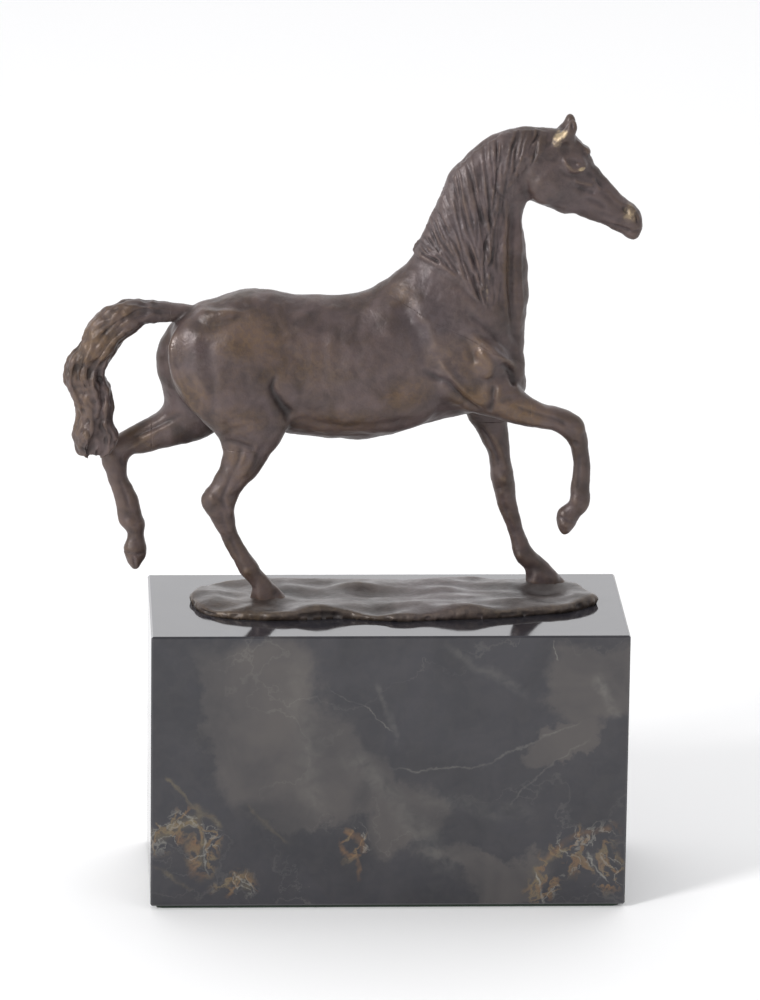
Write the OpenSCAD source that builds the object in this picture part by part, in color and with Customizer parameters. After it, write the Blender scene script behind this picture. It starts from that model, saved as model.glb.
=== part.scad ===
// A trotting horse cast in bronze, standing on a rough bronze ground plate that is bolted
// down on a polished marble block with a felt sheet beneath it.
// The horse faces +X and its right side faces -Y. The origin is the middle of the resting face.

/* [Horse] */
// Height of the withers above the ground plate
withers_h = 143; // [120:0.2:172]
// Wall of the hollow cast torso
torso_wall = 5; // [4:0.5:7]
// Distance of the horse's centre plane behind the block's centre plane
horse_y = 8; // [4:0.5:12]

/* [Brazed joints] */
// Diameter of the round spigots of the legs and the tail
spigot_d = 5; // [4:0.1:6]
// Length of those spigots
spigot_len = 8; // [6:0.5:10]
// Diameter of the neck's register in the torso's mouth
register_d = 22; // [18:0.1:26.4]
// Length of the neck's register
register_len = 7; // [5:0.5:9]
// Radial gap that the braze fills round a spigot
braze_gap = 0.08; // [0.05:0.01:0.15]
// Free room past the end of a spigot
socket_end_gap = 0.5; // [0.3:0.1:1]

/* [Ground plate] */
// Thickness of the cast ground plate
plate_t = 3.5; // [3:0.1:5]
// Plate beyond the standing hind hoof
plate_margin_rear = 33; // [26:1:36]
// Plate beyond the standing fore hoof
plate_margin_front = 23; // [18:1:26]
// Plate beyond the standing hind hoof on the near side
plate_margin_near = 22; // [17:1:26]
// Plate beyond the standing fore hoof on the far side
plate_margin_far = 11; // [9:0.5:14]

/* [Marble block] */
// Width of the block
block_w = 203; // [169:0.2:244]
// Depth of the block
block_d = 90; // [75:1:108]
// Height of the block
block_h = 120.5; // [100:0.5:145]
// Easing of the block's edges
edge_ease = 0.8; // [0.4:0.1:2]

/* [Felt sheet] */
// Thickness of the felt
felt_t = 1.5; // [1:0.1:3]
// Distance of the felt's edge from the block's edge
felt_inset = 2; // [1:0.5:5]
// Corner radius of the felt
felt_corner_r = 3; // [1:0.5:8]

/* [Fixings] */
// Thread diameter of the two studs
stud_d = 4; // [3.4:0.1:4.8]
// Depth that a stud is screwed into a hoof
stud_in_hoof = 6; // [4:0.5:6.5]
// Radial gap between a stud and the hole of a tapped piece
thread_gap = 0.05; // [0.03:0.01:0.1]
// Radial gap between a stud and the holes that it passes through
stud_gap = 0.4; // [0.2:0.1:0.8]
// Outside diameter of a washer
washer_od = 9; // [8.4:0.1:12]
// Thickness of a washer
washer_t = 0.8; // [0.5:0.1:1.5]
// Distance across the flats of a nut
nut_af = 7; // [6.6:0.1:8]
// Thickness of a nut
nut_t = 3.2; // [2.4:0.1:4]
// Stud that shows past its nut
stud_tail = 1.5; // [0.5:0.5:3]
// Room for a box spanner round a nut
spanner_room = 3.5; // [2.5:0.5:5]
// Depth of the recess for a nut, from the block's underside
recess_depth = 12; // [9:0.5:20]

/* [Hidden] */

BRONZE = [0.35, 0.29, 0.26];
MARBLE = [0.27, 0.26, 0.28];
STEEL = [0.62, 0.63, 0.65];
FELT = [0.11, 0.16, 0.12];

// The lofts below are drawn for this height of the withers and grow with withers_h
DRAWN_WITHERS = 143;
grow = withers_h / DRAWN_WITHERS;

block_top = felt_t + block_h;
ground = block_top + plate_t;
SIDES = 16;
BORE_FN = 48;
// A cutting block larger than the whole object
BIG = 600;

// Centre of each standing hoof's sole, in the horse's own drawing: x, and y from its centre plane
REAR_HOOF = [-51.5, -11];
FRONT_HOOF = [68, 12];
rear_stud_at = [REAR_HOOF.x * grow, REAR_HOOF.y * grow + horse_y];
front_stud_at = [FRONT_HOOF.x * grow, FRONT_HOOF.y * grow + horse_y];
nut_seat = felt_t + recess_depth;
recess_d = nut_af / cos(30) + 2 * spanner_room;

// A station of a loft is [first, second, half_width, y]: two opposite points [x, z] of a ring,
// half the ring's width across the horse, and its centre's distance from the centre plane.
// Along a path to the front the first point is the lower one, and along a path down it is the
// rear one. Heights are above the ground plate.
TORSO = [
    [[-97, 97], [-97, 111], 8, 4],
    [[-95, 87], [-95, 117], 13, 1],
    [[-89, 78], [-89, 126], 17, 0],
    [[-79, 73], [-79, 129.5], 19.5, 0],
    [[-67, 71], [-67, 133], 20, 0],
    [[-54, 71], [-54, 134], 20, 0],
    [[-40, 71], [-40, 132.5], 19, 0],
    [[-25, 69], [-25, 132.2], 19.5, 0],
    [[-10, 69], [-10, 134.5], 20, 0],
    [[4, 71], [4, 142], 19.5, 0],
    [[17, 75.5], [17, 143], 18.5, 0],
    [[30, 79], [30, 138], 18, 0],
    [[43, 81], [43, 130], 17, 0],
    [[53, 85], [53, 122], 14.5, 0],
    [[57.6, 91], [57.6, 115], 10, 0],
];
// Stations of the torso that the hollow inside runs between
CORE_FIRST = 3;
CORE_LAST = 11;

NECK = [
    [[57, 92], [-12, 129], 17.5, 0],
    [[57.6, 104], [-5, 137.5], 17, 0],
    [[58.6, 118], [1, 141.5], 15, 0],
    [[59, 130], [6.5, 147], 13, 0],
    [[58.5, 142], [12, 155.5], 11, 0],
    [[57, 153], [16, 165], 10, 0],
    [[56.3, 163], [19.5, 174.5], 9, 0],
    [[57, 171], [23.5, 184], 8.4, 0],
    [[60, 180], [30, 191.5], 8, 0],
    [[64, 190], [40, 200], 7, 0],
    [[68, 198], [50, 204], 5, 0],
];
HEAD = [
    [[52, 181], [47, 201], 5, 0],
    [[58.5, 173.6], [57, 205.8], 7.2, 0],
    [[65, 171], [70, 204.8], 7.6, 0],
    [[72, 168.5], [79.5, 201], 7.4, 0],
    [[79, 166.4], [84.8, 193.5], 6.6, 0],
    [[86, 164], [90, 185], 5.3, 0],
    [[92, 161.5], [96, 178], 4.5, 0],
    [[98, 158.6], [102, 172.3], 4.4, 0],
    [[102, 156.5], [106, 167.5], 4, 0],
    [[104.5, 157.2], [107.8, 163], 2.4, 0],
];
// An ear runs upwards, so its first point is the front one
EAR = [
    [[72, 194], [63, 196], 2.6, 4.5],
    [[75, 201], [67, 202.4], 2.9, 5.2],
    [[76.8, 205.5], [71, 206.4], 2.2, 5.6],
    [[77, 210], [74.4, 210.6], 0.9, 5.8],
];
TAIL = [
    [[-79, 127], [-85, 118], 4, 0],
    [[-90, 129], [-92, 120], 4.5, 0],
    [[-100, 130.4], [-101.5, 119], 5.2, 0],
    [[-111, 130.2], [-107.5, 115.5], 6, 0],
    [[-120, 126.7], [-113.5, 109.5], 6.5, 0],
    [[-127.3, 120], [-117, 103], 7, 0],
    [[-133.3, 110], [-119.7, 98], 7.2, 0],
    [[-138.8, 98], [-119.5, 95], 7.2, 0],
    [[-136.5, 91], [-118, 88], 7, 0],
    [[-134.5, 84], [-117, 84], 6.6, 0],
    [[-132.8, 77.5], [-117.2, 77], 6, 0],
    [[-134.5, 70], [-116.5, 72], 5.6, 0],
    [[-134, 64.5], [-118, 63], 5, 0],
    [[-128.5, 61], [-122.5, 58.8], 3, 0],
];
RIGHT_FORELEG = [
    [[36, 83], [40, 98], 8, -7],
    [[50, 79.5], [56, 93], 6.8, -11],
    [[62, 77], [62, 89], 5.2, -12],
    [[69, 75.7], [71, 85.3], 4.7, -12],
    [[74.5, 72], [80, 82], 4.6, -12],
    [[76.8, 69], [84, 75], 4.5, -12],
    [[78, 65], [85.4, 66], 3.3, -12],
    [[78.4, 57], [86, 57], 3, -12],
    [[78, 49], [86.3, 48], 3.2, -12],
    [[76.5, 45], [86.3, 43], 3.9, -12],
    [[75, 42], [82, 37.2], 3.3, -12],
    [[71.8, 38], [81, 34.5], 4.4, -12],
    [[72.5, 33], [77.8, 30.5], 3.4, -12],
    [[74, 29.8], [76, 29.2], 2, -12],
];
LEFT_FORELEG = [
    [[30, 93], [56, 92], 8, 7],
    [[33, 77], [52, 75.5], 6.4, 11],
    [[38.5, 68], [52.6, 66], 5.3, 12],
    [[43.8, 57], [53.6, 56], 4.6, 12],
    [[45.2, 48.5], [55, 48], 4.6, 12],
    [[46.8, 41.5], [56, 40.5], 4, 12],
    [[49.5, 33], [57.4, 33], 3.1, 12],
    [[53, 24], [60, 24], 3, 12],
    [[55.2, 15], [63.4, 15.5], 3.5, 12],
    [[56.5, 11], [66.5, 11.5], 4, 12],
    [[59.5, 7.8], [69.5, 9], 3.8, 12],
    [[61.5, 5], [73, 6], 4.8, 12],
    [[61, 0], [79, 0], 5.4, 12],
];
RIGHT_HINDLEG = [
    [[-80, 101], [-44, 101], 9, -7],
    [[-76.5, 82], [-43, 82], 8.6, -10],
    [[-71.2, 70], [-45.6, 70], 7.2, -11],
    [[-71, 62], [-51, 64], 6, -11],
    [[-73.5, 56], [-55.8, 56], 5, -11],
    [[-78.5, 47], [-62, 48.5], 4.4, -11],
    [[-79.8, 42.5], [-65, 42.5], 4.5, -11],
    [[-75, 35], [-65.2, 35], 3.6, -11],
    [[-70.5, 26], [-62, 26], 3.2, -11],
    [[-65.5, 17], [-57, 17], 3.4, -11],
    [[-63, 11.5], [-52.5, 12], 4, -11],
    [[-58.2, 7.5], [-48.8, 8.5], 4, -11],
    [[-57.5, 5], [-46, 5.5], 4.7, -11],
    [[-58.5, 0], [-42, 0], 5.2, -11],
];
LEFT_HINDLEG = [
    [[-80, 112], [-66, 82], 9, 6],
    [[-93, 96], [-78, 66], 8.4, 9.5],
    [[-101, 76], [-92, 61.2], 6.2, 11],
    [[-109.3, 70.2], [-101, 59.8], 5.2, 11],
    [[-119.5, 63.5], [-108.8, 58], 4.6, 11],
    [[-122, 55], [-110.8, 54.5], 4.4, 11],
    [[-119, 47], [-110.4, 47], 3.6, 11],
    [[-115.6, 37], [-106, 37], 3.2, 11],
    [[-115, 30.5], [-104, 30.5], 3.5, 11],
    [[-113.4, 27], [-102.4, 27], 4, 11],
    [[-110.9, 22], [-103, 22], 3.4, 11],
    [[-112.4, 17], [-102.5, 16], 4.5, 11],
    [[-110.5, 9.8], [-104.8, 9.8], 3, 11],
    [[-107.9, 7], [-106.3, 6.8], 1.4, 11],
];

// A seam is [point, tilt, y]: a point [x, z] on its flat face, the turn of the face's outward
// direction from straight up towards the front, and the y of the spigot that it carries.
NECK_SEAM = [[27.5, 119.5], 27.6, 0];
TAIL_SEAM = [[-93, 124.4], -90, 0];
RIGHT_FORE_SEAM = [[60, 83.5], 90, -12];
LEFT_FORE_SEAM = [[43, 74], 180, 11.4];
RIGHT_HIND_SEAM = [[-59, 67.5], 180, -11];
LEFT_HIND_SEAM = [[-100.5, 68], -90, 10.8];
LIMB_SEAMS = [TAIL_SEAM, RIGHT_FORE_SEAM, LEFT_FORE_SEAM, RIGHT_HIND_SEAM, LEFT_HIND_SEAM];

// The ground plate's outline as shares of its length and its depth, from its rear near corner
PLATE_OUTLINE = [
    [0, 0.55], [0.01, 0.35], [0.04, 0.2], [0.08, 0.1], [0.14, 0.05], [0.22, 0.03], [0.3, 0.06],
    [0.38, 0.1], [0.44, 0.02], [0.52, 0], [0.6, 0.03], [0.68, 0.06], [0.76, 0.08], [0.84, 0.16],
    [0.92, 0.22], [0.97, 0.34], [1, 0.46], [0.985, 0.6], [0.97, 0.72], [0.955, 0.86], [0.9, 0.94],
    [0.8, 0.97], [0.7, 1], [0.6, 0.96], [0.45, 0.98], [0.3, 0.96], [0.18, 0.98], [0.08, 0.92],
    [0.03, 0.8],
];
plate_low = [rear_stud_at.x - plate_margin_rear, rear_stud_at.y - plate_margin_near];
plate_high = [front_stud_at.x + plate_margin_front, front_stud_at.y + plate_margin_far];

// The points of one station's ring
function ring(s, inset) =
    let (
        middle = (s[0] + s[1]) / 2,
        half = (s[0] - s[1]) / 2,
        reach = norm(half),
        arm = half * (reach - inset) / reach
    )
    [
        for (i = [0:SIDES - 1])
            let (turn = 360 * i / SIDES)
            [
                middle[0] + arm[0] * cos(turn),
                s[3] + (s[2] - inset) * sin(turn),
                middle[1] + arm[1] * cos(turn),
            ]
    ];

function ring_centre(s) = [(s[0][0] + s[1][0]) / 2, s[3], (s[0][1] + s[1][1]) / 2];

// The faces that join a number of rings and close both ends to a middle point each
function loft_faces(count) =
    let (
        last = (count - 1) * SIDES,
        start = count * SIDES
    )
    concat(
        [for (k = [0:count - 2], i = [0:SIDES - 1])
            let (a = k * SIDES + i, b = k * SIDES + (i + 1) % SIDES)
            [a, a + SIDES, b + SIDES]],
        [for (k = [0:count - 2], i = [0:SIDES - 1])
            let (a = k * SIDES + i, b = k * SIDES + (i + 1) % SIDES)
            [a, b + SIDES, b]],
        [for (i = [0:SIDES - 1]) [start, i, (i + 1) % SIDES]],
        [for (i = [0:SIDES - 1]) [start + 1, last + (i + 1) % SIDES, last + i]]
    );

// A closed solid through the rings of the stations, in the horse's own drawing
module loft(stations, inset = 0) {
    count = len(stations);
    points = [for (s = stations) each ring(s, inset)];
    ends = [ring_centre(stations[0]), ring_centre(stations[count - 1])];
    polyhedron(concat(points, ends), loft_faces(count));
}

// Moves a drawing of the horse to its place and size on the ground plate
module place_horse() {
    translate([0, horse_y, ground]) scale(grow) children();
}

// Turns +Z to a seam's outward direction at the seam's own place, at the horse's real size
module at_seam(seam) {
    translate([seam[0][0] * grow, seam[2] * grow + horse_y, seam[0][1] * grow + ground])
        rotate([0, seam[1], 0]) children();
}

// Everything outward of a seam
module outward(seam) {
    at_seam(seam) translate([-BIG / 2, -BIG / 2, 0]) cube(BIG);
}

// A limb's or the neck's loft inside the torso's side of its seam
module stump(stations, seam) {
    difference() {
        place_horse() loft(stations);
        outward(seam);
    }
}

// The casting outward of a seam, with the spigot that enters the torso
module casting(stations, seam) {
    intersection() {
        place_horse() loft(stations);
        outward(seam);
    }
    at_seam(seam) translate([0, 0, -spigot_len])
        cylinder(d = spigot_d, h = spigot_len + spigot_d / 2, $fn = BORE_FN);
}

// The hole in the torso for a spigot
module socket(seam) {
    depth = spigot_len + socket_end_gap;
    at_seam(seam) translate([0, 0, -depth])
        cylinder(d = spigot_d + 2 * braze_gap, h = depth + 1, $fn = BORE_FN);
}

// A box with flat eased edges, its bottom middle at the origin
module eased_box(size, ease) {
    half_w = size.x / 2;
    half_d = size.y / 2;
    intersection() {
        linear_extrude(size.z) polygon(eased(half_w, half_d, ease));
        translate([0, half_d, size.z / 2]) rotate([90, 0, 0])
            linear_extrude(size.y) polygon(eased(half_w, size.z / 2, ease));
        translate([-half_w, 0, size.z / 2]) rotate([90, 0, 90])
            linear_extrude(size.x) polygon(eased(half_d, size.z / 2, ease));
    }
}

// The outline of a rectangle with its corners cut off
function eased(a, b, ease) = [
    [-a + ease, -b], [a - ease, -b], [a, -b + ease], [a, b - ease],
    [a - ease, b], [-a + ease, b], [-a, b - ease], [-a, -b + ease],
];

module stud_hole(at, gap, from, to) {
    translate([at.x, at.y, from]) cylinder(d = stud_d + 2 * gap, h = to - from, $fn = BORE_FN);
}

module marble_block() {
    color(MARBLE) difference() {
        translate([0, 0, felt_t]) eased_box([block_w, block_d, block_h], edge_ease);
        for (at = [front_stud_at, rear_stud_at]) {
            stud_hole(at, stud_gap, 0, block_top + 1);
            translate([at.x, at.y, 0]) cylinder(d = recess_d, h = nut_seat, $fn = BORE_FN);
        }
    }
}

module felt_sheet() {
    w = block_w - 2 * felt_inset;
    d = block_d - 2 * felt_inset;
    r = felt_corner_r;
    color(FELT) linear_extrude(felt_t) {
        square([w - 2 * r, d], center = true);
        square([w, d - 2 * r], center = true);
        for (sx = [-1, 1], sy = [-1, 1])
            translate([sx * (w / 2 - r), sy * (d / 2 - r)]) circle(r, $fn = BORE_FN);
    }
}

module ground_plate() {
    size = plate_high - plate_low;
    outline = [for (p = PLATE_OUTLINE) [plate_low.x + p.x * size.x, plate_low.y + p.y * size.y]];
    color(BRONZE) difference() {
        translate([0, 0, block_top]) linear_extrude(plate_t) polygon(outline);
        for (at = [front_stud_at, rear_stud_at])
            stud_hole(at, stud_gap, block_top - 1, ground + 1);
    }
}

module torso_core() {
    place_horse()
        loft([for (k = [CORE_FIRST:CORE_LAST]) TORSO[k]], torso_wall / grow);
}

module torso() {
    mouth_depth = 20 * grow;
    color(BRONZE) difference() {
        union() {
            difference() {
                place_horse() loft(TORSO);
                torso_core();
            }
            stump(RIGHT_FORELEG, RIGHT_FORE_SEAM);
            stump(LEFT_FORELEG, LEFT_FORE_SEAM);
            stump(RIGHT_HINDLEG, RIGHT_HIND_SEAM);
            stump(LEFT_HINDLEG, LEFT_HIND_SEAM);
            stump(TAIL, TAIL_SEAM);
        }
        outward(NECK_SEAM);
        at_seam(NECK_SEAM) translate([0, 0, -mouth_depth])
            cylinder(d = register_d + 2 * braze_gap, h = mouth_depth + 1, $fn = BORE_FN);
        for (seam = LIMB_SEAMS) socket(seam);
    }
}

module ear(side) {
    place_horse() loft([for (s = EAR) [s[0], s[1], s[2], side * s[3]]]);
}

module neck_and_head() {
    color(BRONZE) {
        intersection() {
            place_horse() loft(NECK);
            outward(NECK_SEAM);
        }
        place_horse() loft(HEAD);
        for (side = [-1, 1]) ear(side);
        at_seam(NECK_SEAM) translate([0, 0, -register_len])
            cylinder(d = register_d, h = register_len + 1, $fn = BORE_FN);
    }
}

module tail() {
    color(BRONZE) casting(TAIL, TAIL_SEAM);
}

module right_foreleg() {
    color(BRONZE) casting(RIGHT_FORELEG, RIGHT_FORE_SEAM);
}

module left_foreleg() {
    color(BRONZE) difference() {
        casting(LEFT_FORELEG, LEFT_FORE_SEAM);
        stud_hole(front_stud_at, thread_gap, ground - 1, ground + stud_in_hoof + socket_end_gap);
    }
}

module right_hindleg() {
    color(BRONZE) difference() {
        casting(RIGHT_HINDLEG, RIGHT_HIND_SEAM);
        stud_hole(rear_stud_at, thread_gap, ground - 1, ground + stud_in_hoof + socket_end_gap);
    }
}

module left_hindleg() {
    color(BRONZE) casting(LEFT_HINDLEG, LEFT_HIND_SEAM);
}

module stud(at) {
    foot = nut_seat - washer_t - nut_t - stud_tail;
    color(STEEL) translate([at.x, at.y, foot])
        cylinder(d = stud_d, h = ground + stud_in_hoof - foot, $fn = BORE_FN);
}

module washer(at) {
    color(STEEL) translate([at.x, at.y, nut_seat - washer_t]) difference() {
        cylinder(d = washer_od, h = washer_t, $fn = BORE_FN);
        translate([0, 0, -1]) cylinder(d = stud_d + 2 * stud_gap, h = washer_t + 2, $fn = BORE_FN);
    }
}

module nut(at) {
    color(STEEL) translate([at.x, at.y, nut_seat - washer_t - nut_t]) difference() {
        cylinder(d = nut_af / cos(30), h = nut_t, $fn = 6);
        translate([0, 0, -1]) cylinder(d = stud_d + 2 * thread_gap, h = nut_t + 2, $fn = BORE_FN);
    }
}

marble_block();
felt_sheet();
ground_plate();
torso();
neck_and_head();
tail();
right_foreleg();
left_foreleg();
right_hindleg();
left_hindleg();
stud(front_stud_at);  // front_stud
stud(rear_stud_at);  // rear_stud
washer(front_stud_at);  // front_washer
washer(rear_stud_at);  // rear_washer
nut(front_stud_at);  // front_nut
nut(rear_stud_at);  // rear_nut
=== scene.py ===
"""A trotting horse in patinated bronze on a marble block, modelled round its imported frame.

The horse is modelled whole in millimetres, as a sculptor would in clay: lofted limbs and
muscle masses are joined into one skin, the surface is worked with strokes of a tool, and the
skin is then cut at the seams of the castings. X runs along the horse, Y across it from its
centre plane, and Z up from the ground plate. The last step places each casting in the frame.
"""

import logging
import math
import random
from dataclasses import dataclass, field
from enum import Enum
from typing import Sequence

import bmesh
import bpy
import numpy as np
from mathutils import Matrix, Vector, noise
from mathutils.bvhtree import BVHTree


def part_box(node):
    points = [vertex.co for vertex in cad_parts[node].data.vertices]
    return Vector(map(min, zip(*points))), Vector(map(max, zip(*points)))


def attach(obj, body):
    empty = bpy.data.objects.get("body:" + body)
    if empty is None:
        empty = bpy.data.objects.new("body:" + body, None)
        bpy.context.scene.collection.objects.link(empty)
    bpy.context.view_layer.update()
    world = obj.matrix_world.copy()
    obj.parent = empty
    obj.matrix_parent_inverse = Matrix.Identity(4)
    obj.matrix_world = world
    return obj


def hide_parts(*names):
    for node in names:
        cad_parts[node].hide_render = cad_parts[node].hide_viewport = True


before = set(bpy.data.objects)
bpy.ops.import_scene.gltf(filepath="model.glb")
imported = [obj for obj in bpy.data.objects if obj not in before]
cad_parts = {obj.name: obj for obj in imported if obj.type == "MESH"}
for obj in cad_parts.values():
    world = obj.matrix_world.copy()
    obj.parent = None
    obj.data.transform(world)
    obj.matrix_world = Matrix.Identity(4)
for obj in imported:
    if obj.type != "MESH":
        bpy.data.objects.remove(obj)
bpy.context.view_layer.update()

LOG = logging.getLogger("bronze_horse")
MM = 0.001
# Height of the ear tips above the ground plate in the drawing that the sizes below belong to
DRAWN_HEIGHT = 210.6

# What is kept past a seam while the two sides of it are modelled as one
SEAM_MARGIN = 3.0

Ring = Sequence[float]
Point = tuple[float, float]
Triple = tuple[float, float, float]
Colour = tuple[float, float, float, float]
Groups = dict[str, bpy.types.NodeTree]


class Side(Enum):
    """A flank of the horse, by the sign of Y."""

    RIGHT = -1
    BOTH = 0
    LEFT = 1


# ---- mesh helpers


def smooth_curve(points: np.ndarray, per_span: int) -> np.ndarray:
    """Passes a smooth curve through control rows.

    Args:
        points: the rows, one per control point.
        per_span: how many rows to give for each span between two control points.

    Returns:
        The rows along the curve, the first and the last control rows included.
    """
    p = np.vstack([2 * points[0] - points[1], points, 2 * points[-1] - points[-2]])
    out = []
    for k in range(1, len(p) - 2):
        for step in range(per_span):
            t = step / per_span
            out.append(
                0.5
                * (
                    2 * p[k]
                    + (p[k + 1] - p[k - 1]) * t
                    + (2 * p[k - 1] - 5 * p[k] + 4 * p[k + 1] - p[k + 2]) * t**2
                    + (3 * p[k] - p[k - 1] - 3 * p[k + 1] + p[k + 2]) * t**3
                )
            )
    out.append(points[-1])
    return np.array(out)


def bridge_rings(bm: bmesh.types.BMesh, rings: list[list[bmesh.types.BMVert]]) -> None:
    """Skins a row of rings and closes both ends.

    Args:
        bm: the mesh that holds the rings.
        rings: the rings' vertices, in order along the form.
    """
    loops = [list({e for v in ring for e in v.link_edges}) for ring in rings]
    for near, far in zip(loops, loops[1:]):
        bmesh.ops.bridge_loops(bm, edges=near + far)
    bmesh.ops.edgeloop_fill(bm, edges=loops[0])
    bmesh.ops.edgeloop_fill(bm, edges=loops[-1])


def unit_ring(bm: bmesh.types.BMesh, sides: int) -> list[bmesh.types.BMVert]:
    """Adds an open circle of radius 1, and gives its vertices."""
    return bmesh.ops.create_circle(bm, cap_ends=False, radius=1.0, segments=sides)["verts"]


def loft(
    bm: bmesh.types.BMesh, stations: Sequence[Ring], per_span: int = 4, sides: int = 28
) -> None:
    """Adds a closed form through stations across the horse's centre plane.

    Args:
        bm: the mesh to add to.
        stations: rows of x1, z1, x2, z2, half width, y and lean. The two points are opposite
            places of a section, and lean moves its widest place towards the first of them. A
            row without a lean has none.
        per_span: rings made for each span between two stations.
        sides: vertices in a ring.
    """
    with_lean = 7
    rows = np.array([tuple(s) + (0.0,) * (with_lean - len(s)) for s in stations], float)
    rings = []
    for x1, z1, x2, z2, half, y, lean in smooth_curve(rows, per_span):
        ring = unit_ring(bm, sides)
        middle = Vector(((x1 + x2) / 2, y, (z1 + z2) / 2))
        arm = Vector(((x1 - x2) / 2, 0.0, (z1 - z2) / 2))
        for v in ring:
            across, along = v.co.x, v.co.y
            width = half * across * (1 + lean * along)
            v.co = middle + arm * along + Vector((0.0, width, 0.0))
        rings.append(ring)
    bridge_rings(bm, rings)


def mass(bm: bmesh.types.BMesh, at: Vector, radii: Vector, tilt: float, turn: float = 0.0) -> None:
    """Adds an egg-shaped muscle mass.

    Args:
        bm: the mesh to add to.
        at: its centre.
        radii: its three half sizes.
        tilt: its turn in the side view, in degrees, nose down positive.
        turn: its turn in the top view, in degrees.
    """
    matrix = (
        Matrix.Translation(at)
        @ Matrix.Rotation(math.radians(turn), 4, "Z")
        @ Matrix.Rotation(math.radians(tilt), 4, "Y")
        @ Matrix.Diagonal((*radii, 1.0))
    )
    bmesh.ops.create_icosphere(bm, subdivisions=3, radius=1.0, matrix=matrix)


def strand(
    bm: bmesh.types.BMesh,
    path: Sequence[Vector],
    outward: Sequence[Vector],
    widths: Sequence[float],
    heights: Sequence[float],
    sides: int = 8,
) -> None:
    """Adds a lock of hair: a flattened tube along a path.

    Args:
        bm: the mesh to add to.
        path: the lock's middle line.
        outward: for each point, the direction away from the skin below.
        widths: half widths along the path.
        heights: half thicknesses along the path.
        sides: vertices in a ring.
    """
    rings = []
    for k, p in enumerate(path):
        ahead = path[min(k + 1, len(path) - 1)] - path[max(k - 1, 0)]
        ahead.normalize()
        across = ahead.cross(outward[k]).normalized()
        up = across.cross(ahead).normalized()
        ring = unit_ring(bm, sides)
        for v in ring:
            v.co = p + across * (v.co.x * widths[k]) + up * (v.co.y * heights[k])
        rings.append(ring)
    bridge_rings(bm, rings)


def everything(bm: bmesh.types.BMesh) -> list:
    """Gives all the vertices, edges and faces of a bmesh."""
    return [*bm.verts, *bm.edges, *bm.faces]


def take_mesh(bm: bmesh.types.BMesh, name: str) -> bpy.types.Mesh:
    """Turns a bmesh into a mesh as it is, and frees the bmesh."""
    mesh = bpy.data.meshes.new(name)
    bm.to_mesh(mesh)
    bm.free()
    return mesh


def mesh_from(bm: bmesh.types.BMesh, name: str) -> bpy.types.Mesh:
    """Turns a bmesh into a mesh with outward faces, and frees the bmesh."""
    bmesh.ops.recalc_face_normals(bm, faces=bm.faces)
    return take_mesh(bm, name)


def join(first: bpy.types.Mesh, second: bpy.types.Mesh) -> bpy.types.Mesh:
    """Puts the faces of two meshes into one."""
    bm = bmesh.new()
    bm.from_mesh(first)
    bm.from_mesh(second)
    return take_mesh(bm, "joined")


def reskin(mesh: bpy.types.Mesh, voxel: float) -> bpy.types.Mesh:
    """Joins all the closed forms of a mesh into one even skin.

    Args:
        mesh: the forms, which is removed.
        voxel: the size of the new skin's faces.

    Returns:
        The new mesh.
    """
    holder = bpy.data.objects.new("skin_holder", mesh)
    bpy.context.scene.collection.objects.link(holder)
    remesh = holder.modifiers.new("skin", "REMESH")
    remesh.mode = "VOXEL"
    remesh.voxel_size = voxel
    graph = bpy.context.evaluated_depsgraph_get()
    made = bpy.data.meshes.new_from_object(holder.evaluated_get(graph))
    bpy.data.objects.remove(holder)
    bpy.data.meshes.remove(mesh)
    return made


# ---- clay


@dataclass(frozen=True)
class Mark:
    """A stroke of a modelling tool, drawn in the side view.

    A positive height raises a ridge and a negative one presses a groove. The two widths are
    its reach on the left and on the right of the path, so a steep and a gentle side differ.
    """

    path: tuple[Point, ...]
    widths: tuple[float, float]
    height: float
    side: Side = Side.BOTH
    flank: Side | None = None


@dataclass(frozen=True)
class Dab:
    """An oval push, out or in, drawn in the side view."""

    at: Point
    radii: tuple[float, float]
    height: float
    tilt: float = 0.0
    side: Side = Side.BOTH
    flank: Side | None = None


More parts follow.
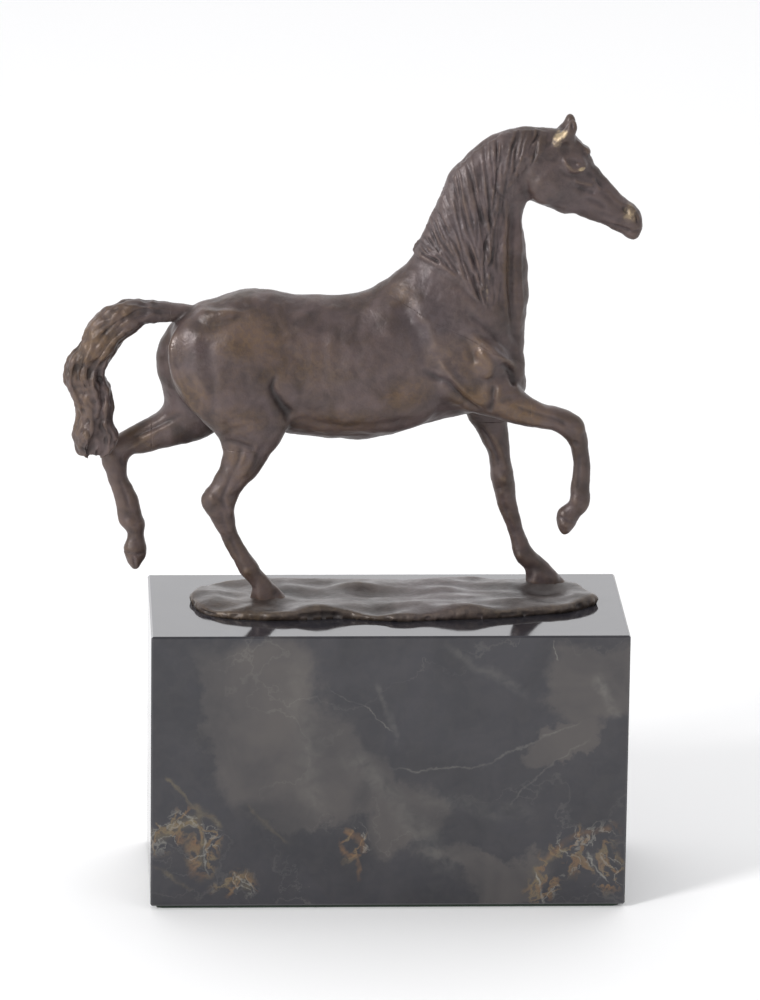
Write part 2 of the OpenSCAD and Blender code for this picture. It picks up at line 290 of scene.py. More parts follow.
class Clay:
    """A mesh whose points are moved in bulk, as clay is under a tool."""

    # How many widths from its path a mark still counts
    MARK_REACH = 2.5
    # How deep a mark is at its very ends, and over what share of its length it deepens
    MARK_END, MARK_TAPER = 0.15, 0.2
    # How much a point may face away from a side and still be touched, and the turn towards
    # the side over which the touch grows whole
    GRAZING, FACING_SPAN = 0.05, 0.5
    # How far past the centre plane a flank's marks run, in mm
    OVERLAP = 0.5
    # Over what height the roughness below a level grows, in mm
    LEVEL_FADE = 16
    # The step through the noise from one seed to the next
    SEED_STEP = (7.3, 3.1, 5.7)
    # Wear is the height over a skin smoothed this often by this share, full at this many mm
    WEAR_ROUNDS, WEAR_SHARE, WEAR_HEIGHT = 12, 0.6, 0.3

    def __init__(self, mesh: bpy.types.Mesh) -> None:
        """Reads a mesh's points and edges."""
        self.mesh = mesh
        self.count = len(mesh.vertices)
        flat = np.empty(self.count * 3, np.float32)
        mesh.vertices.foreach_get("co", flat)
        self.co = flat.reshape(-1, 3).astype(float)
        ends = np.empty(len(mesh.edges) * 2, np.int32)
        mesh.edges.foreach_get("vertices", ends)
        self.ends = ends.reshape(-1, 2)
        self.degree = np.maximum(np.bincount(self.ends.ravel(), minlength=self.count), 1)

    def commit(self) -> None:
        """Writes the points back to the mesh."""
        self.mesh.vertices.foreach_set("co", self.co.astype(np.float32).ravel())
        self.mesh.update()

    def normals(self) -> np.ndarray:
        """Gives the outward direction at each point."""
        self.commit()
        flat = np.empty(self.count * 3, np.float32)
        self.mesh.vertex_normals.foreach_get("vector", flat)
        return flat.reshape(-1, 3).astype(float)

    def averages(self, co: np.ndarray) -> np.ndarray:
        """Gives the mean of each point's neighbours."""
        a, b = self.ends[:, 0], self.ends[:, 1]
        out = np.empty_like(co)
        for axis in range(co.shape[1]):
            out[:, axis] = np.bincount(a, co[b, axis], self.count)
            out[:, axis] += np.bincount(b, co[a, axis], self.count)
        return out / self.degree[:, None]

    def relax(self, rounds: int, share: float = 0.5, keep: float = 0.0) -> None:
        """Smooths the points.

        Args:
            rounds: how many times.
            share: how far a point goes towards its neighbours' mean.
            keep: how much of that is undone each round, which keeps thin limbs from shrinking.
        """
        for _ in range(rounds):
            self.co += share * (self.averages(self.co) - self.co)
            if keep:
                self.co -= keep * share * (self.averages(self.co) - self.co)

    def fade(self, before: np.ndarray, seam: "Seam", reach: float) -> None:
        """Undoes the work done since some moment next to a joint, so that its two sides still meet.

        Args:
            before: the points at that moment.
            seam: the joint.
            reach: how far from it the work is whole again.
        """
        away = np.abs((self.co - np.array(seam.place())) @ np.array(seam.outward()))
        self.co = before + np.clip(away / reach, 0, 1)[:, None] * (self.co - before)

    def swell(self, amount: float) -> None:
        """Moves every point outwards by the same amount."""
        self.co += amount * self.normals()
        self.commit()

    def facing(self, normals: np.ndarray, side: Side, flank: Side | None) -> np.ndarray:
        """Gives how squarely each point faces a side, from 0 to 1, on one flank only."""
        weight = np.ones(self.count)
        if side is not Side.BOTH:
            toward = side.value * normals[:, 1]
            weight = np.clip((toward + self.GRAZING) / self.FACING_SPAN, 0, 1)
        half = side if flank is None else flank
        if half is not Side.BOTH:
            weight = weight * (half.value * self.co[:, 1] > -self.OVERLAP)
        return weight

    def strokes(self, marks: Sequence[Mark]) -> None:
        """Makes a set of marks at once, along the directions that the points face now."""
        normals = self.normals()
        x, z = self.co[:, 0], self.co[:, 2]
        push = np.zeros(self.count)
        for mark in marks:
            pts = smooth_curve(np.array(mark.path, float), 3)
            reach = self.MARK_REACH * max(mark.widths)
            low, high = pts.min(0) - reach, pts.max(0) + reach
            near = np.flatnonzero((x > low[0]) & (x < high[0]) & (z > low[1]) & (z < high[1]))
            if not len(near):
                continue
            here = np.stack([x[near], z[near]], 1)
            best = np.full(len(near), 1e9)
            place = np.zeros(len(near))
            left = np.zeros(len(near), bool)
            for k in range(len(pts) - 1):
                a, d = pts[k], pts[k + 1] - pts[k]
                t = np.clip(((here - a) @ d) / max(d @ d, 1e-9), 0, 1)
                off = here - a - t[:, None] * d
                dist = np.hypot(off[:, 0], off[:, 1])
                closer = dist < best
                best = np.where(closer, dist, best)
                place = np.where(closer, (k + t) / (len(pts) - 1), place)
                left = np.where(closer, d[0] * off[:, 1] - d[1] * off[:, 0] > 0, left)
            width = np.where(left, mark.widths[0], mark.widths[1])
            ends = np.clip(np.minimum(place, 1 - place) / self.MARK_TAPER, 0, 1)
            taper = self.MARK_END + (1 - self.MARK_END) * ends * (2 - ends)
            face = self.facing(normals, mark.side, mark.flank)[near]
            push[near] += mark.height * np.exp(-((best / width) ** 2)) * taper * face
        self.co += normals * push[:, None]

    def inside(self, dab: Dab) -> np.ndarray:
        """Gives how far inside a dab each point is: 1 at its centre, 0 at its rim and past it."""
        c, s = math.cos(math.radians(dab.tilt)), math.sin(math.radians(dab.tilt))
        dx, dz = self.co[:, 0] - dab.at[0], self.co[:, 2] - dab.at[1]
        u, v = (c * dx + s * dz) / dab.radii[0], (c * dz - s * dx) / dab.radii[1]
        return np.clip(1 - (u * u + v * v), 0, 1)

    def dabs(self, dabs: Sequence[Dab]) -> None:
        """Makes a set of oval pushes at once."""
        normals = self.normals()
        push = np.zeros(self.count)
        for dab in dabs:
            face = self.facing(normals, dab.side, dab.flank)
            push += dab.height * self.inside(dab) ** 2 * face
        self.co += normals * push[:, None]

    def roughen(self, height: float, grain: float, seed: int, below: float | None = None) -> None:
        """Adds the slight unevenness that hand modelling leaves.

        Args:
            height: how far it goes in and out.
            grain: how large its lumps are.
            seed: a number that picks the pattern.
            below: if given, the height that it stays below.
        """
        normals = self.normals()
        shift = Vector([seed * step for step in self.SEED_STEP])
        swell = np.array([noise.noise(Vector(p) / grain + shift) for p in self.co])
        if below is not None:
            swell = swell * np.clip((below - self.co[:, 2]) / self.LEVEL_FADE, 0, 1)
        self.co += normals * (height * swell)[:, None]

    def store(self, name: str, value: np.ndarray) -> None:
        """Stores a value at each point, kept within 0 and 1, for the finish to read."""
        layer = self.mesh.attributes.new(name, "FLOAT", "POINT")
        layer.data.foreach_set("value", np.clip(value, 0, 1).astype(np.float32))

    def paint(self, name: str, dabs: Sequence[Dab]) -> None:
        """Stores oval places of a finish.

        Args:
            name: the attribute to store.
            dabs: the places, whose heights are their strengths.
        """
        normals = self.normals()
        value = np.zeros(self.count)
        for dab in dabs:
            face = self.facing(normals, dab.side, dab.flank)
            value = np.maximum(value, dab.height * self.inside(dab) * face)
        self.store(name, value)

    def record_wear(self) -> None:
        """Stores how proud and how hollow each point is, which the patina is rubbed by."""
        normals = self.normals()
        soft = self.co.copy()
        for _ in range(self.WEAR_ROUNDS):
            soft += self.WEAR_SHARE * (self.averages(soft) - soft)
        proud = ((self.co - soft) * normals).sum(1)[:, None]
        for _ in range(2):
            proud = 0.5 * (proud + self.averages(proud))
        self.store("proud", proud[:, 0] / self.WEAR_HEIGHT)
        self.store("hollow", -proud[:, 0] / self.WEAR_HEIGHT)

    def finish(self) -> None:
        """Stores all that the patina and the painted sheen follow."""
        self.record_wear()
        for name, dabs in PATINA_AND_SHEEN.items():
            self.paint(name, dabs)


# ---- the horse


@dataclass(frozen=True)
class Seam:
    """A flat joint between two castings: a point in the side view and the outward direction."""

    at: Point
    tilt: float

    def place(self, offset: float = 0.0) -> Vector:
        """Gives a point on the seam, moved outward by an offset."""
        return Vector((self.at[0], 0.0, self.at[1])) + self.outward() * offset

    def outward(self) -> Vector:
        """Gives the direction away from the torso."""
        turn = math.radians(self.tilt)
        return Vector((math.sin(turn), 0.0, math.cos(turn)))


@dataclass
class Anatomy:
    """The forms that the horse is built up from, in millimetres above the ground plate."""

    torso: tuple[Ring, ...] = (
        (-92, 97, -92, 117, 9, 0),
        (-90, 90, -90, 121.5, 12.5, 0),
        (-86, 84, -86, 126, 15.5, 0),
        (-80, 79, -80, 128.8, 17.6, 0),
        (-72, 76, -72, 130.6, 19, 0),
        (-64, 74, -64, 133.4, 19.3, 0),
        (-56, 73, -56, 134.2, 18.8, 0),
        (-48, 72.2, -48, 133.2, 18, 0, 0.03),
        (-40, 71, -40, 132.2, 17.8, 0, 0.05),
        (-30, 69.6, -30, 131.9, 18.4, 0, 0.08),
        (-20, 68.8, -20, 132.2, 19.2, 0, 0.1),
        (-10, 69, -10, 133.8, 19.6, 0, 0.12),
        (0, 70.7, 0, 138, 19.2, 0, 0.14),
        (10, 73.8, 10, 141.4, 18.4, 0, 0.14),
        (20, 76.8, 20, 141, 17.4, 0, 0.12),
        (30, 79.2, 30, 138, 16.4, 0, 0.1),
        (40, 81.6, 40, 132, 15.6, 0, 0.05),
        (48, 86, 48, 126, 14, 0),
        (54, 90.5, 54, 119, 11, 0),
        (57.4, 96, 57.4, 112, 7, 0),
    )
    neck: tuple[Ring, ...] = (
        (54, 98, -18, 129, 15, 0),
        (57.3, 108, -6, 135.6, 15.4, 0, 0.05),
        (58, 118, 0, 139.2, 14.8, 0, 0.08),
        (58.8, 128, 5.6, 143.8, 13.4, 0, 0.1),
        (59, 137, 9.6, 149.4, 12, 0, 0.1),
        (58.4, 146, 13.2, 157.2, 10.8, 0, 0.1),
        (57, 154.5, 16.6, 164.6, 9.8, 0, 0.08),
        (56.2, 161, 19.4, 171.4, 9.2, 0, 0.06),
        (56.3, 167, 22, 178.2, 8.8, 0, 0.04),
        (57.5, 172, 25.4, 185.6, 8.4, 0),
        (59.5, 177, 31, 192, 8, 0),
        (60.5, 184, 37.8, 198, 7.4, 0),
        (61.5, 190, 44.6, 202.6, 6.4, 0),
        (64, 196, 54, 205.4, 5, 0),
    )
    head: tuple[Ring, ...] = (
        (49, 181, 45.5, 201.4, 5.2, 0),
        (55, 175.4, 54, 205.4, 6.8, 0),
        (61, 172.2, 62.5, 205.3, 7.4, 0),
        (67, 169.8, 71, 203.8, 7.6, 0),
        (72.8, 168, 77.6, 201.4, 7.3, 0),
        (77.5, 167.7, 81.6, 196.4, 6.6, 0),
        (81, 166.2, 84.7, 192, 5.8, 0),
        (85, 164.5, 88, 187, 5, 0),
        (89.5, 163.1, 92.4, 182.1, 4.4, 0),
        (94, 160.8, 96.9, 177, 4, 0),
        (98.5, 158.4, 101, 172.8, 4.1, 0),
        (102, 156.3, 104.9, 170, 4.2, 0),
        (104.6, 157.2, 106.7, 165.6, 3.1, 0),
        (105.9, 159.4, 106.9, 162.4, 1.4, 0),
    )
    tail: tuple[Ring, ...] = (
        (-78, 127, -82, 119, 4, 0),
        (-88, 128.6, -90, 120.4, 4.4, 0),
        (-95, 129.4, -98.2, 119.6, 4.8, 0),
        (-106.3, 130.4, -103.5, 119, 5.4, 0),
        (-115.4, 128.9, -108.7, 114.8, 6, 0),
        (-122.6, 125.2, -114, 109.8, 6.4, 0),
        (-129, 118.2, -117.2, 104, 6.8, 0),
        (-133, 109.4, -120, 99.8, 7, 0),
        (-136.4, 103, -120.2, 96.7, 7, 0),
        (-137.4, 96, -119, 93.4, 7, 0),
        (-135.9, 90, -117.5, 89.4, 6.8, 0),
        (-133.6, 84, -117, 83.4, 6.4, 0),
        (-132.6, 80, -117.2, 78.7, 6.1, 0),
        (-133.2, 75, -116, 75.4, 5.8, -0.3),
        (-134.8, 70.5, -113.6, 71.6, 5.6, -0.6),
        (-134.6, 65.6, -114.4, 66.6, 5.2, -0.8),
        (-132.4, 61.6, -118.6, 61.8, 4, -0.6),
        (-128, 59.4, -123.5, 59.6, 1.6, -0.5),
    )
    right_foreleg: tuple[Ring, ...] = (
        (30, 84, 32, 106, 7, -8),
        (40, 81.5, 45, 104, 7.8, -9.5),
        (49, 79, 53.4, 97, 7.2, -10.8),
        (56.4, 77.9, 58.4, 91.6, 6.3, -11.6),
        (64.3, 76.5, 65.2, 87.3, 5.4, -12),
        (69.7, 75.5, 71.5, 85.5, 4.9, -12),
        (74, 73, 77.8, 83.3, 4.7, -12),
        (76.3, 70, 82.2, 80.5, 4.7, -12),
        (77.6, 66.5, 84, 74.5, 4.4, -12),
        (78.2, 63, 85, 68.9, 3.8, -12),
        (78.5, 59, 85.6, 63.3, 3.3, -12),
        (78.3, 54.5, 86.1, 57.8, 3, -12),
        (77.9, 50.8, 86.3, 52, 3.1, -12),
        (77.6, 47, 86.4, 46.5, 3.7, -12),
        (77.5, 43.6, 86.1, 42.9, 3.8, -12),
        (75.8, 42.3, 84.8, 40.1, 3.4, -12),
        (73.1, 40.9, 81.9, 37.3, 3.3, -12),
        (72, 38.9, 81.1, 35.1, 4, -12),
        (71.8, 35.5, 80, 33.1, 4.3, -12),
        (72.6, 32.3, 77.9, 30, 3.6, -12),
        (74, 29.7, 76, 28.9, 2, -12),
    )
    left_foreleg: tuple[Ring, ...] = (
        (28, 104, 55, 104, 7, 8),
        (31, 86, 54.5, 86, 7.2, 10),
        (34.9, 74.8, 51.8, 74, 6.4, 11.4),
        (39.6, 67.3, 52.5, 66, 5.7, 12),
        (43, 60.1, 53.3, 60, 5.2, 12),
        (44.7, 54.5, 54, 53.5, 4.8, 12),
        (45.2, 49.1, 55, 48, 4.9, 12),
        (46.3, 43.5, 55.8, 41, 4.6, 12),
        (47.7, 39, 56.2, 37.5, 3.9, 12),
        (49, 34.5, 56.9, 34.5, 3.3, 12),
        (50.6, 30, 58, 30, 3.1, 12),
        (52.2, 25.7, 59.4, 25.8, 3, 12),
        (54.3, 18.8, 61.5, 20.3, 3.2, 12),
        (55.4, 13.9, 63.6, 15.1, 3.8, 12),
        (57.1, 10.5, 66.3, 12, 4.1, 12),
        (59.8, 8, 69.6, 9.4, 4, 12),
        (61.3, 5.2, 72, 7.6, 4.5, 12),
        (61.4, 2.6, 75, 4, 5.1, 12),
        (60.8, -0.4, 79, -0.4, 5.6, 12),
    )
    right_hindleg: tuple[Ring, ...] = (
        (-80, 128, -52, 128, 6, -7),
        (-90, 120, -44, 116, 9, -8.4),
        (-94, 110.5, -41.6, 105, 10.6, -9),
        (-93, 100.5, -41, 95, 10.8, -9.6),
        (-89, 91.9, -40.4, 86.5, 10.2, -10.2),
        (-83.6, 84, -41.2, 80.8, 9.3, -10.8),
        (-78.3, 78, -43, 77.2, 8.4, -11),
        (-72.8, 73, -44.7, 73.5, 7.5, -11),
        (-70.5, 68, -47, 69, 6.8, -11),
        (-70.6, 63.5, -50.3, 65.4, 6.1, -11),
        (-72.2, 58.5, -53.4, 59.7, 5.4, -11),
        (-74.5, 53.8, -56.8, 54.6, 4.9, -11),
        (-77, 49.5, -60.8, 50.8, 4.4, -11),
        (-79.6, 45.2, -63.6, 47.2, 4.4, -11),
        (-79.6, 42, -65, 42.6, 4.5, -11),
        (-77.2, 38.6, -65.3, 38.5, 4.2, -11),
        (-74.7, 34.2, -65.3, 34.6, 3.5, -11),
        (-71.8, 28.5, -63.9, 29.8, 3, -11),
        (-69.2, 23.6, -61.5, 25, 2.9, -11),
        (-66.5, 19.2, -58.9, 20.6, 3.1, -11),
        (-64.3, 15.2, -56.4, 16.8, 3.6, -11),
        (-62.9, 12, -54, 13.2, 4, -11),
        (-60.2, 9.4, -51.6, 10.8, 3.9, -11),
        (-58.2, 7.2, -49.2, 8.9, 3.7, -11),
        (-57.6, 5.2, -47.4, 6.6, 4.3, -11),
        (-58.2, 2.8, -45.2, 3.6, 4.8, -11),
        (-58.6, -0.4, -42.6, -0.4, 5.2, -11),
    )
    left_hindleg: tuple[Ring, ...] = (
        (-78, 126, -52, 104, 7, 6),
        (-90.6, 119.5, -60, 92, 9.4, 8),
        (-95.7, 112, -66, 84, 10.2, 9),
        (-98.6, 103.5, -69, 76, 10.2, 10),
        (-97.8, 94.4, -72, 70.2, 9.4, 10.6),
        (-95.8, 86.7, -77, 66.2, 8.4, 11),
        (-95.2, 80.8, -84, 64, 7.3, 11.4),
        (-98.4, 76.7, -91, 62.2, 6.4, 11.8),
        (-103.4, 73.3, -97.5, 60.8, 5.7, 12),
        (-108.7, 70.6, -103, 59.3, 5.1, 12),
        (-113.5, 67.8, -107, 58.8, 4.8, 12),
        (-118.5, 64, -109.2, 57.6, 4.6, 12),
        (-121.8, 58.5, -110.2, 55.4, 4.5, 12),
        (-122, 54, -110.8, 53, 4.4, 12),
        (-120, 49.5, -110.6, 48.9, 4, 12),
        (-118.2, 44.2, -109.1, 45.1, 3.4, 12),
        (-116.2, 38.8, -106.8, 40, 3, 12),
        (-115, 34.5, -105.4, 34.7, 3.1, 12),
        (-114.9, 30.5, -104, 31.1, 3.5, 12),
        (-114, 27.1, -102.5, 27.4, 4, 12),
        (-112.2, 25, -103, 24, 3.8, 12),
        (-110.8, 22.6, -103, 21, 3.4, 12),
        (-111.4, 19.8, -102.6, 18.3, 3.9, 12),
        (-112.6, 16.4, -102.4, 15.9, 4.4, 12),
        (-111.7, 12.9, -102.9, 13, 4.1, 12),
        (-110.2, 9.5, -104.8, 9.4, 3.2, 12),
        (-108.3, 7, -106.3, 6.6, 1.6, 12),
    )
    ear: tuple[Ring, ...] = (
        (75.4, 195, 66, 196, 2.6, 3.6),
        (76.8, 200.4, 68.4, 200.2, 3, 4.2),
        (77.7, 204.4, 71, 203.8, 2.7, 4.6),
        (78, 207, 73.2, 206.6, 2.1, 4.9),
        (77.4, 209, 74.2, 208.9, 1.4, 5.1),
        (76.5, 210.1, 75.3, 210.1, 0.6, 5.2),
    )
    # Masses of the left flank, which the right one mirrors: centre, half sizes, tilt and turn
    muscles: tuple[Ring, ...] = (
        (20, 8.6, 114, 13, 9.4, 24, -24, 4),
        (27, 10.6, 101, 14, 8.6, 15, -42, 0),
        (42, 8.6, 107, 12, 9, 13, 36, -18),
        (51, 5.2, 101, 7.4, 6, 11, 0, 0),
        (-64, 9.6, 107, 20, 10.4, 20, 10, 0),
        (-84, 6.8, 108, 9, 8.6, 14, -8, 0),
        (-10, 8.4, 92, 34, 11.6, 19, 4, 0),
    )
    # The jaw, the brow, the eye, the face bone, the nostril's rim and the lip
    face: tuple[Ring, ...] = (
        (66, 4.6, 182, 8.6, 4, 9.6, 10, 0),
        (78.6, 4.9, 190.4, 4, 2.2, 2.6, 28, 10),
        (79.6, 5.5, 187.6, 2.1, 1.6, 1.8, 20, 12),
        (82, 3.6, 181.5, 7.5, 1.9, 1.5, 42, 8),
        (102.4, 3, 166.4, 3, 1.6, 2.4, 40, 6),
        (101.6, 1.6, 159, 3.6, 2.4, 2, 30, 0),
    )


@dataclass
class HorseSculptor:
    """Builds the horse's skin and works its surface."""

    anatomy: Anatomy = field(default_factory=Anatomy)
    base_voxel: float = 0.8
    voxel: float = 0.6
    fine_voxel: float = 0.44
    # How many locks the tail has, and how many comb strokes it, the mane's two flanks and the
    # neck beside the mane get
    tail_locks: int = 15
    tail_strokes: int = 130
    right_strokes: int = 230
    left_strokes: int = 60
    neck_strokes: int = 70
    # What picks the chance draws of the locks and of the strokes
    mane_seed: int = 11
    mane_stroke_seed: int = 23
    tail_seed: int = 5
    tail_stroke_seed: int = 31
    # How far from its seam a casting's own work is whole
    neck_fade: float = 7
    tail_fade: float = 9

    @staticmethod
    def masses(bm: bmesh.types.BMesh, rows: Sequence[Ring]) -> None:
        """Adds a set of masses to both flanks."""
        for s in (-1, 1):
            for x, y, z, rx, ry, rz, tilt, turn in rows:
                mass(bm, Vector((x, y * s, z)), Vector((rx, ry, rz)), tilt, turn * s)

    def mane_path(
        self, skin: BVHTree, root: Point, tip: Point, side: int, sway: float
    ) -> tuple[list[Vector], list[Vector]]:
        """Lays a lock of the mane on the neck.

        Args:
            skin: the neck's surface.
            root: where the lock leaves the crest.
            tip: where it ends.
            side: the flank that it falls on, by the sign of Y.
            sway: how far its middle bends along the neck.

        Returns:
            The lock's points and, for each, the direction away from the skin.
        """
        steps, lift, clear = 11, 0.25, 60
        path, outward = [], []
        for k in range(steps):
            t = k / (steps - 1)
            x = root[0] + (tip[0] - root[0]) * t + sway * math.sin(math.pi * t)
            x += 0.35 * sway * math.sin(3 * math.pi * t)
            z = root[1] + (tip[1] - root[1]) * t
            outside, inward = Vector((x, clear * side, z)), Vector((0, -side, 0))
            hit, normal, _, _ = skin.ray_cast(outside, inward)
            if hit is None:
                hit = Vector((x, 0.6 * side, z))
                normal = Vector((-0.6, 0.5 * side, 0.6)).normalized()
            path.append(hit + normal * lift)
            outward.append(normal)
        return path, outward

    def mane_flow(self) -> tuple[np.ndarray, np.ndarray, np.ndarray]:
        """Gives where the mane's locks leave the crest, and where they end on each flank."""
        roots = (
            (11, 153), (14.4, 159.4), (18.6, 169), (25, 182), (31.2, 190.6), (38.6, 197),
            (46, 201.4), (55.3, 203.8), (63, 204),
        )
        right = (
            (20, 149), (27.3, 143.2), (34, 137), (39.6, 131.2), (41.4, 142), (42.4, 156),
            (45, 170), (50, 181), (59, 191),
        )
        left = (
            (14, 151), (18, 156.6), (23.6, 163.4), (30.6, 175), (36.6, 182.4), (43, 189.4),
            (49, 194), (56, 197.4), (63, 199),
        )
        return tuple(smooth_curve(np.array(line, float), 4) for line in (roots, right, left))

    def mane(self, bm: bmesh.types.BMesh, skin: BVHTree) -> None:
        """Adds the mane, which falls on the right flank, and its short locks on the left."""
        rng = random.Random(self.mane_seed)
        roots, tips, short = self.mane_flow()
        for side, ends in ((-1, tips), (1, short)):
            for k in range(len(roots)):
                reach = 1.0 - (0.22 * rng.random() if k % 2 else 0.0)
                root = tuple(roots[k])
                tip = tuple(roots[k] + (ends[k] - roots[k]) * reach)
                sway = rng.uniform(-2.4, 0.4) if side < 0 else rng.uniform(-0.8, 0.8)
                path, outward = self.mane_path(skin, root, tip, side, sway)
                half = rng.uniform(1.7, 2.9) if side < 0 else rng.uniform(1.4, 2.2)
                thick = rng.uniform(0.3, 0.95) if side < 0 else rng.uniform(0.3, 0.7)
                count = len(path)
                widths = [half * (0.8 + 0.4 * math.sin(math.pi * (i + 1) / (count + 0.4)))
                          for i in range(count)]
                widths[-2] *= 0.75
                widths[-1] = 0.3
                heights = [thick * (0.6 + 0.6 * math.sin(math.pi * (i + 1) / (count + 1)))
                           * min(1.0, 0.5 + 0.25 * i) for i in range(count)]
                strand(bm, path, outward, widths, heights)

    def mane_marks(self) -> list[Mark]:
        """Draws the comb strokes that part the mane's locks."""
        rng = random.Random(self.mane_stroke_seed)
        roots, tips, short = self.mane_flow()
        marks = list(MANE_MARKS)
        outer = roots + (roots - tips) * 0.12
        for side, start_line, ends, count in (
            (Side.RIGHT, outer, tips, self.right_strokes),
            (Side.LEFT, roots, short, self.left_strokes),
        ):
            for _ in range(count):
                k = rng.uniform(0, len(roots) - 1.001)
                i, f = int(k), k - int(k)
                root = start_line[i] * (1 - f) + start_line[i + 1] * f
                tip = ends[i] * (1 - f) + ends[i + 1] * f
                start = rng.uniform(0, 0.7)
                stop = min(1.02, start + rng.uniform(0.15, 0.5))
                sway = rng.uniform(-1.8, 0.8)
                path = []
                for t in np.linspace(start, stop, 5):
                    x, z = root + (tip - root) * t
                    wave = sway * math.sin(math.pi * t)
                    path.append((x + wave + 0.4 * math.sin(9 * t + k), z))
                width = rng.uniform(0.3, 0.75)
                height = rng.choice((-0.42, -0.34, -0.28, -0.24, -0.2, 0.18, 0.24))
                flank = None if side is Side.RIGHT else Side.LEFT
                marks.append(Mark(tuple(path), (width, width), height, side, flank))
        for _ in range(self.neck_strokes):
            x, z = rng.uniform(38, 47), rng.uniform(136, 186)
            x += max(0.0, z - 166) * 0.3
            reach, lean = rng.uniform(4, 12), rng.uniform(-0.16, 0.04)
            path = ((x, z), (x + lean * reach + rng.uniform(-0.3, 0.3), z - reach / 2),
                    (x + 1.6 * lean * reach, z - reach))
            marks.append(Mark(path, (0.5, 0.5), rng.choice((-0.3, -0.22, 0.2)), Side.RIGHT))
        return marks

    def tail_marks(self) -> list[Mark]:
        """Draws the strokes that part the tail's locks."""
        rng = random.Random(self.tail_stroke_seed)
        fine = smooth_curve(np.array([tuple(s) for s in self.anatomy.tail], float), 3)
        marks = []
        for _ in range(self.tail_strokes):
            start = rng.randrange(2, len(fine) - 6)
            stop = min(len(fine) - 1, start + rng.randrange(4, 11))
            across, drift = rng.uniform(-0.95, 0.95), rng.uniform(-0.03, 0.05)
            path = []
            for i in range(start, stop + 1):
                x1, z1, x2, z2 = fine[i][:4]
                wave = 0.03 * math.sin(1.3 * i + start)
                t = 0.5 + 0.5 * (across + drift * (i - start)) + wave
                path.append((x1 + (x2 - x1) * t, z1 + (z2 - z1) * t))
            width = rng.uniform(0.4, 1.0)
            height = rng.choice((-0.7, -0.5, -0.4, -0.3, 0.3, 0.4))
            height *= 0.6 + 0.7 * start / len(fine)
            side = rng.choice((Side.RIGHT, Side.LEFT))
            marks.append(Mark(tuple(path), (width, width), height, side))
        return marks

    def forelock(self, bm: bmesh.types.BMesh) -> None:
        """Adds the tuft between the ears."""
        for y in (-2.1, -0.7, 0.7, 2.1):
            path = [Vector((70, y * 0.6, 203.6)), Vector((75.4, y * 0.8, 202.2)),
                    Vector((79.3, y, 198.4)), Vector((82.6, y * 1.05, 194.4))]
            outward = [Vector((0.2, 0, 1)), Vector((0.5, 0, 0.9)), Vector((0.85, 0, 0.5)),
                       Vector((0.9, 0, 0.4))]
            strand(bm, path, outward, [1.3, 1.4, 1.2, 0.7], [0.8, 0.8, 0.7, 1.3])
        mass(bm, Vector((82.6, 0, 194.6)), Vector((2.0, 3.2, 1.6)), 40)

    def tail_hair(self, bm: bmesh.types.BMesh) -> None:
        """Adds the tail as overlapping locks round a core."""
        rng = random.Random(self.tail_seed)
        rows = np.array([tuple(s) for s in self.anatomy.tail], float)
        core = [(r[0] * 0.92 + r[2] * 0.08, r[1] * 0.92 + r[3] * 0.08,
                 r[2] * 0.92 + r[0] * 0.08, r[3] * 0.92 + r[1] * 0.08, r[4] * 0.88, r[5])
                for r in rows[:-1]]
        loft(bm, core)
        fine = smooth_curve(rows, 2)
        count = len(fine)
        for k in range(self.tail_locks):
            start = 360 * k / self.tail_locks + rng.uniform(-8, 8)
            twist = rng.uniform(-6, 38)
            last = int(count * (0.99 if k % 3 == 0 else rng.uniform(0.74, 0.97)))
            sway = rng.uniform(0.5, 1.3)
            phase = rng.uniform(0, 6)
            path, outward, widths, heights = [], [], [], []
            for i in range(last):
                x1, z1, x2, z2, half, y = fine[i]
                s = i / count
                turn = math.radians(start + twist * s + 12 * sway * math.sin(phase + 8 * s))
                middle = Vector(((x1 + x2) / 2, y, (z1 + z2) / 2))
                arm = Vector(((x1 - x2) / 2, 0, (z1 - z2) / 2))
                radial = arm * math.cos(turn) + Vector((0, half * math.sin(turn), 0))
                swell = 1 + 0.05 * math.sin(phase * 2 + 17 * s) * min(1, 4 * s)
                inset = swell * max(0.0, 1 - (0.62 + 0.2 * s) / max(radial.length, 1.2))
                path.append(middle + radial * inset)
                outward.append(radial.normalized())
                girth = (arm.length + half) / 2
                widths.append(girth * (0.27 - 0.06 * s))
                heights.append(0.5 + 0.6 * min(1, 1.6 * s))
            for j, share in enumerate((0.3, 0.65, 0.9)):
                widths[-1 - j] *= share
                heights[-1 - j] *= share ** 0.5
            strand(bm, path, outward, widths, heights)

    def tail_form(self) -> bpy.types.Mesh:
        """Builds the tail's core and locks."""
        bm = bmesh.new()
        self.tail_hair(bm)
        return mesh_from(bm, "tail_forms")

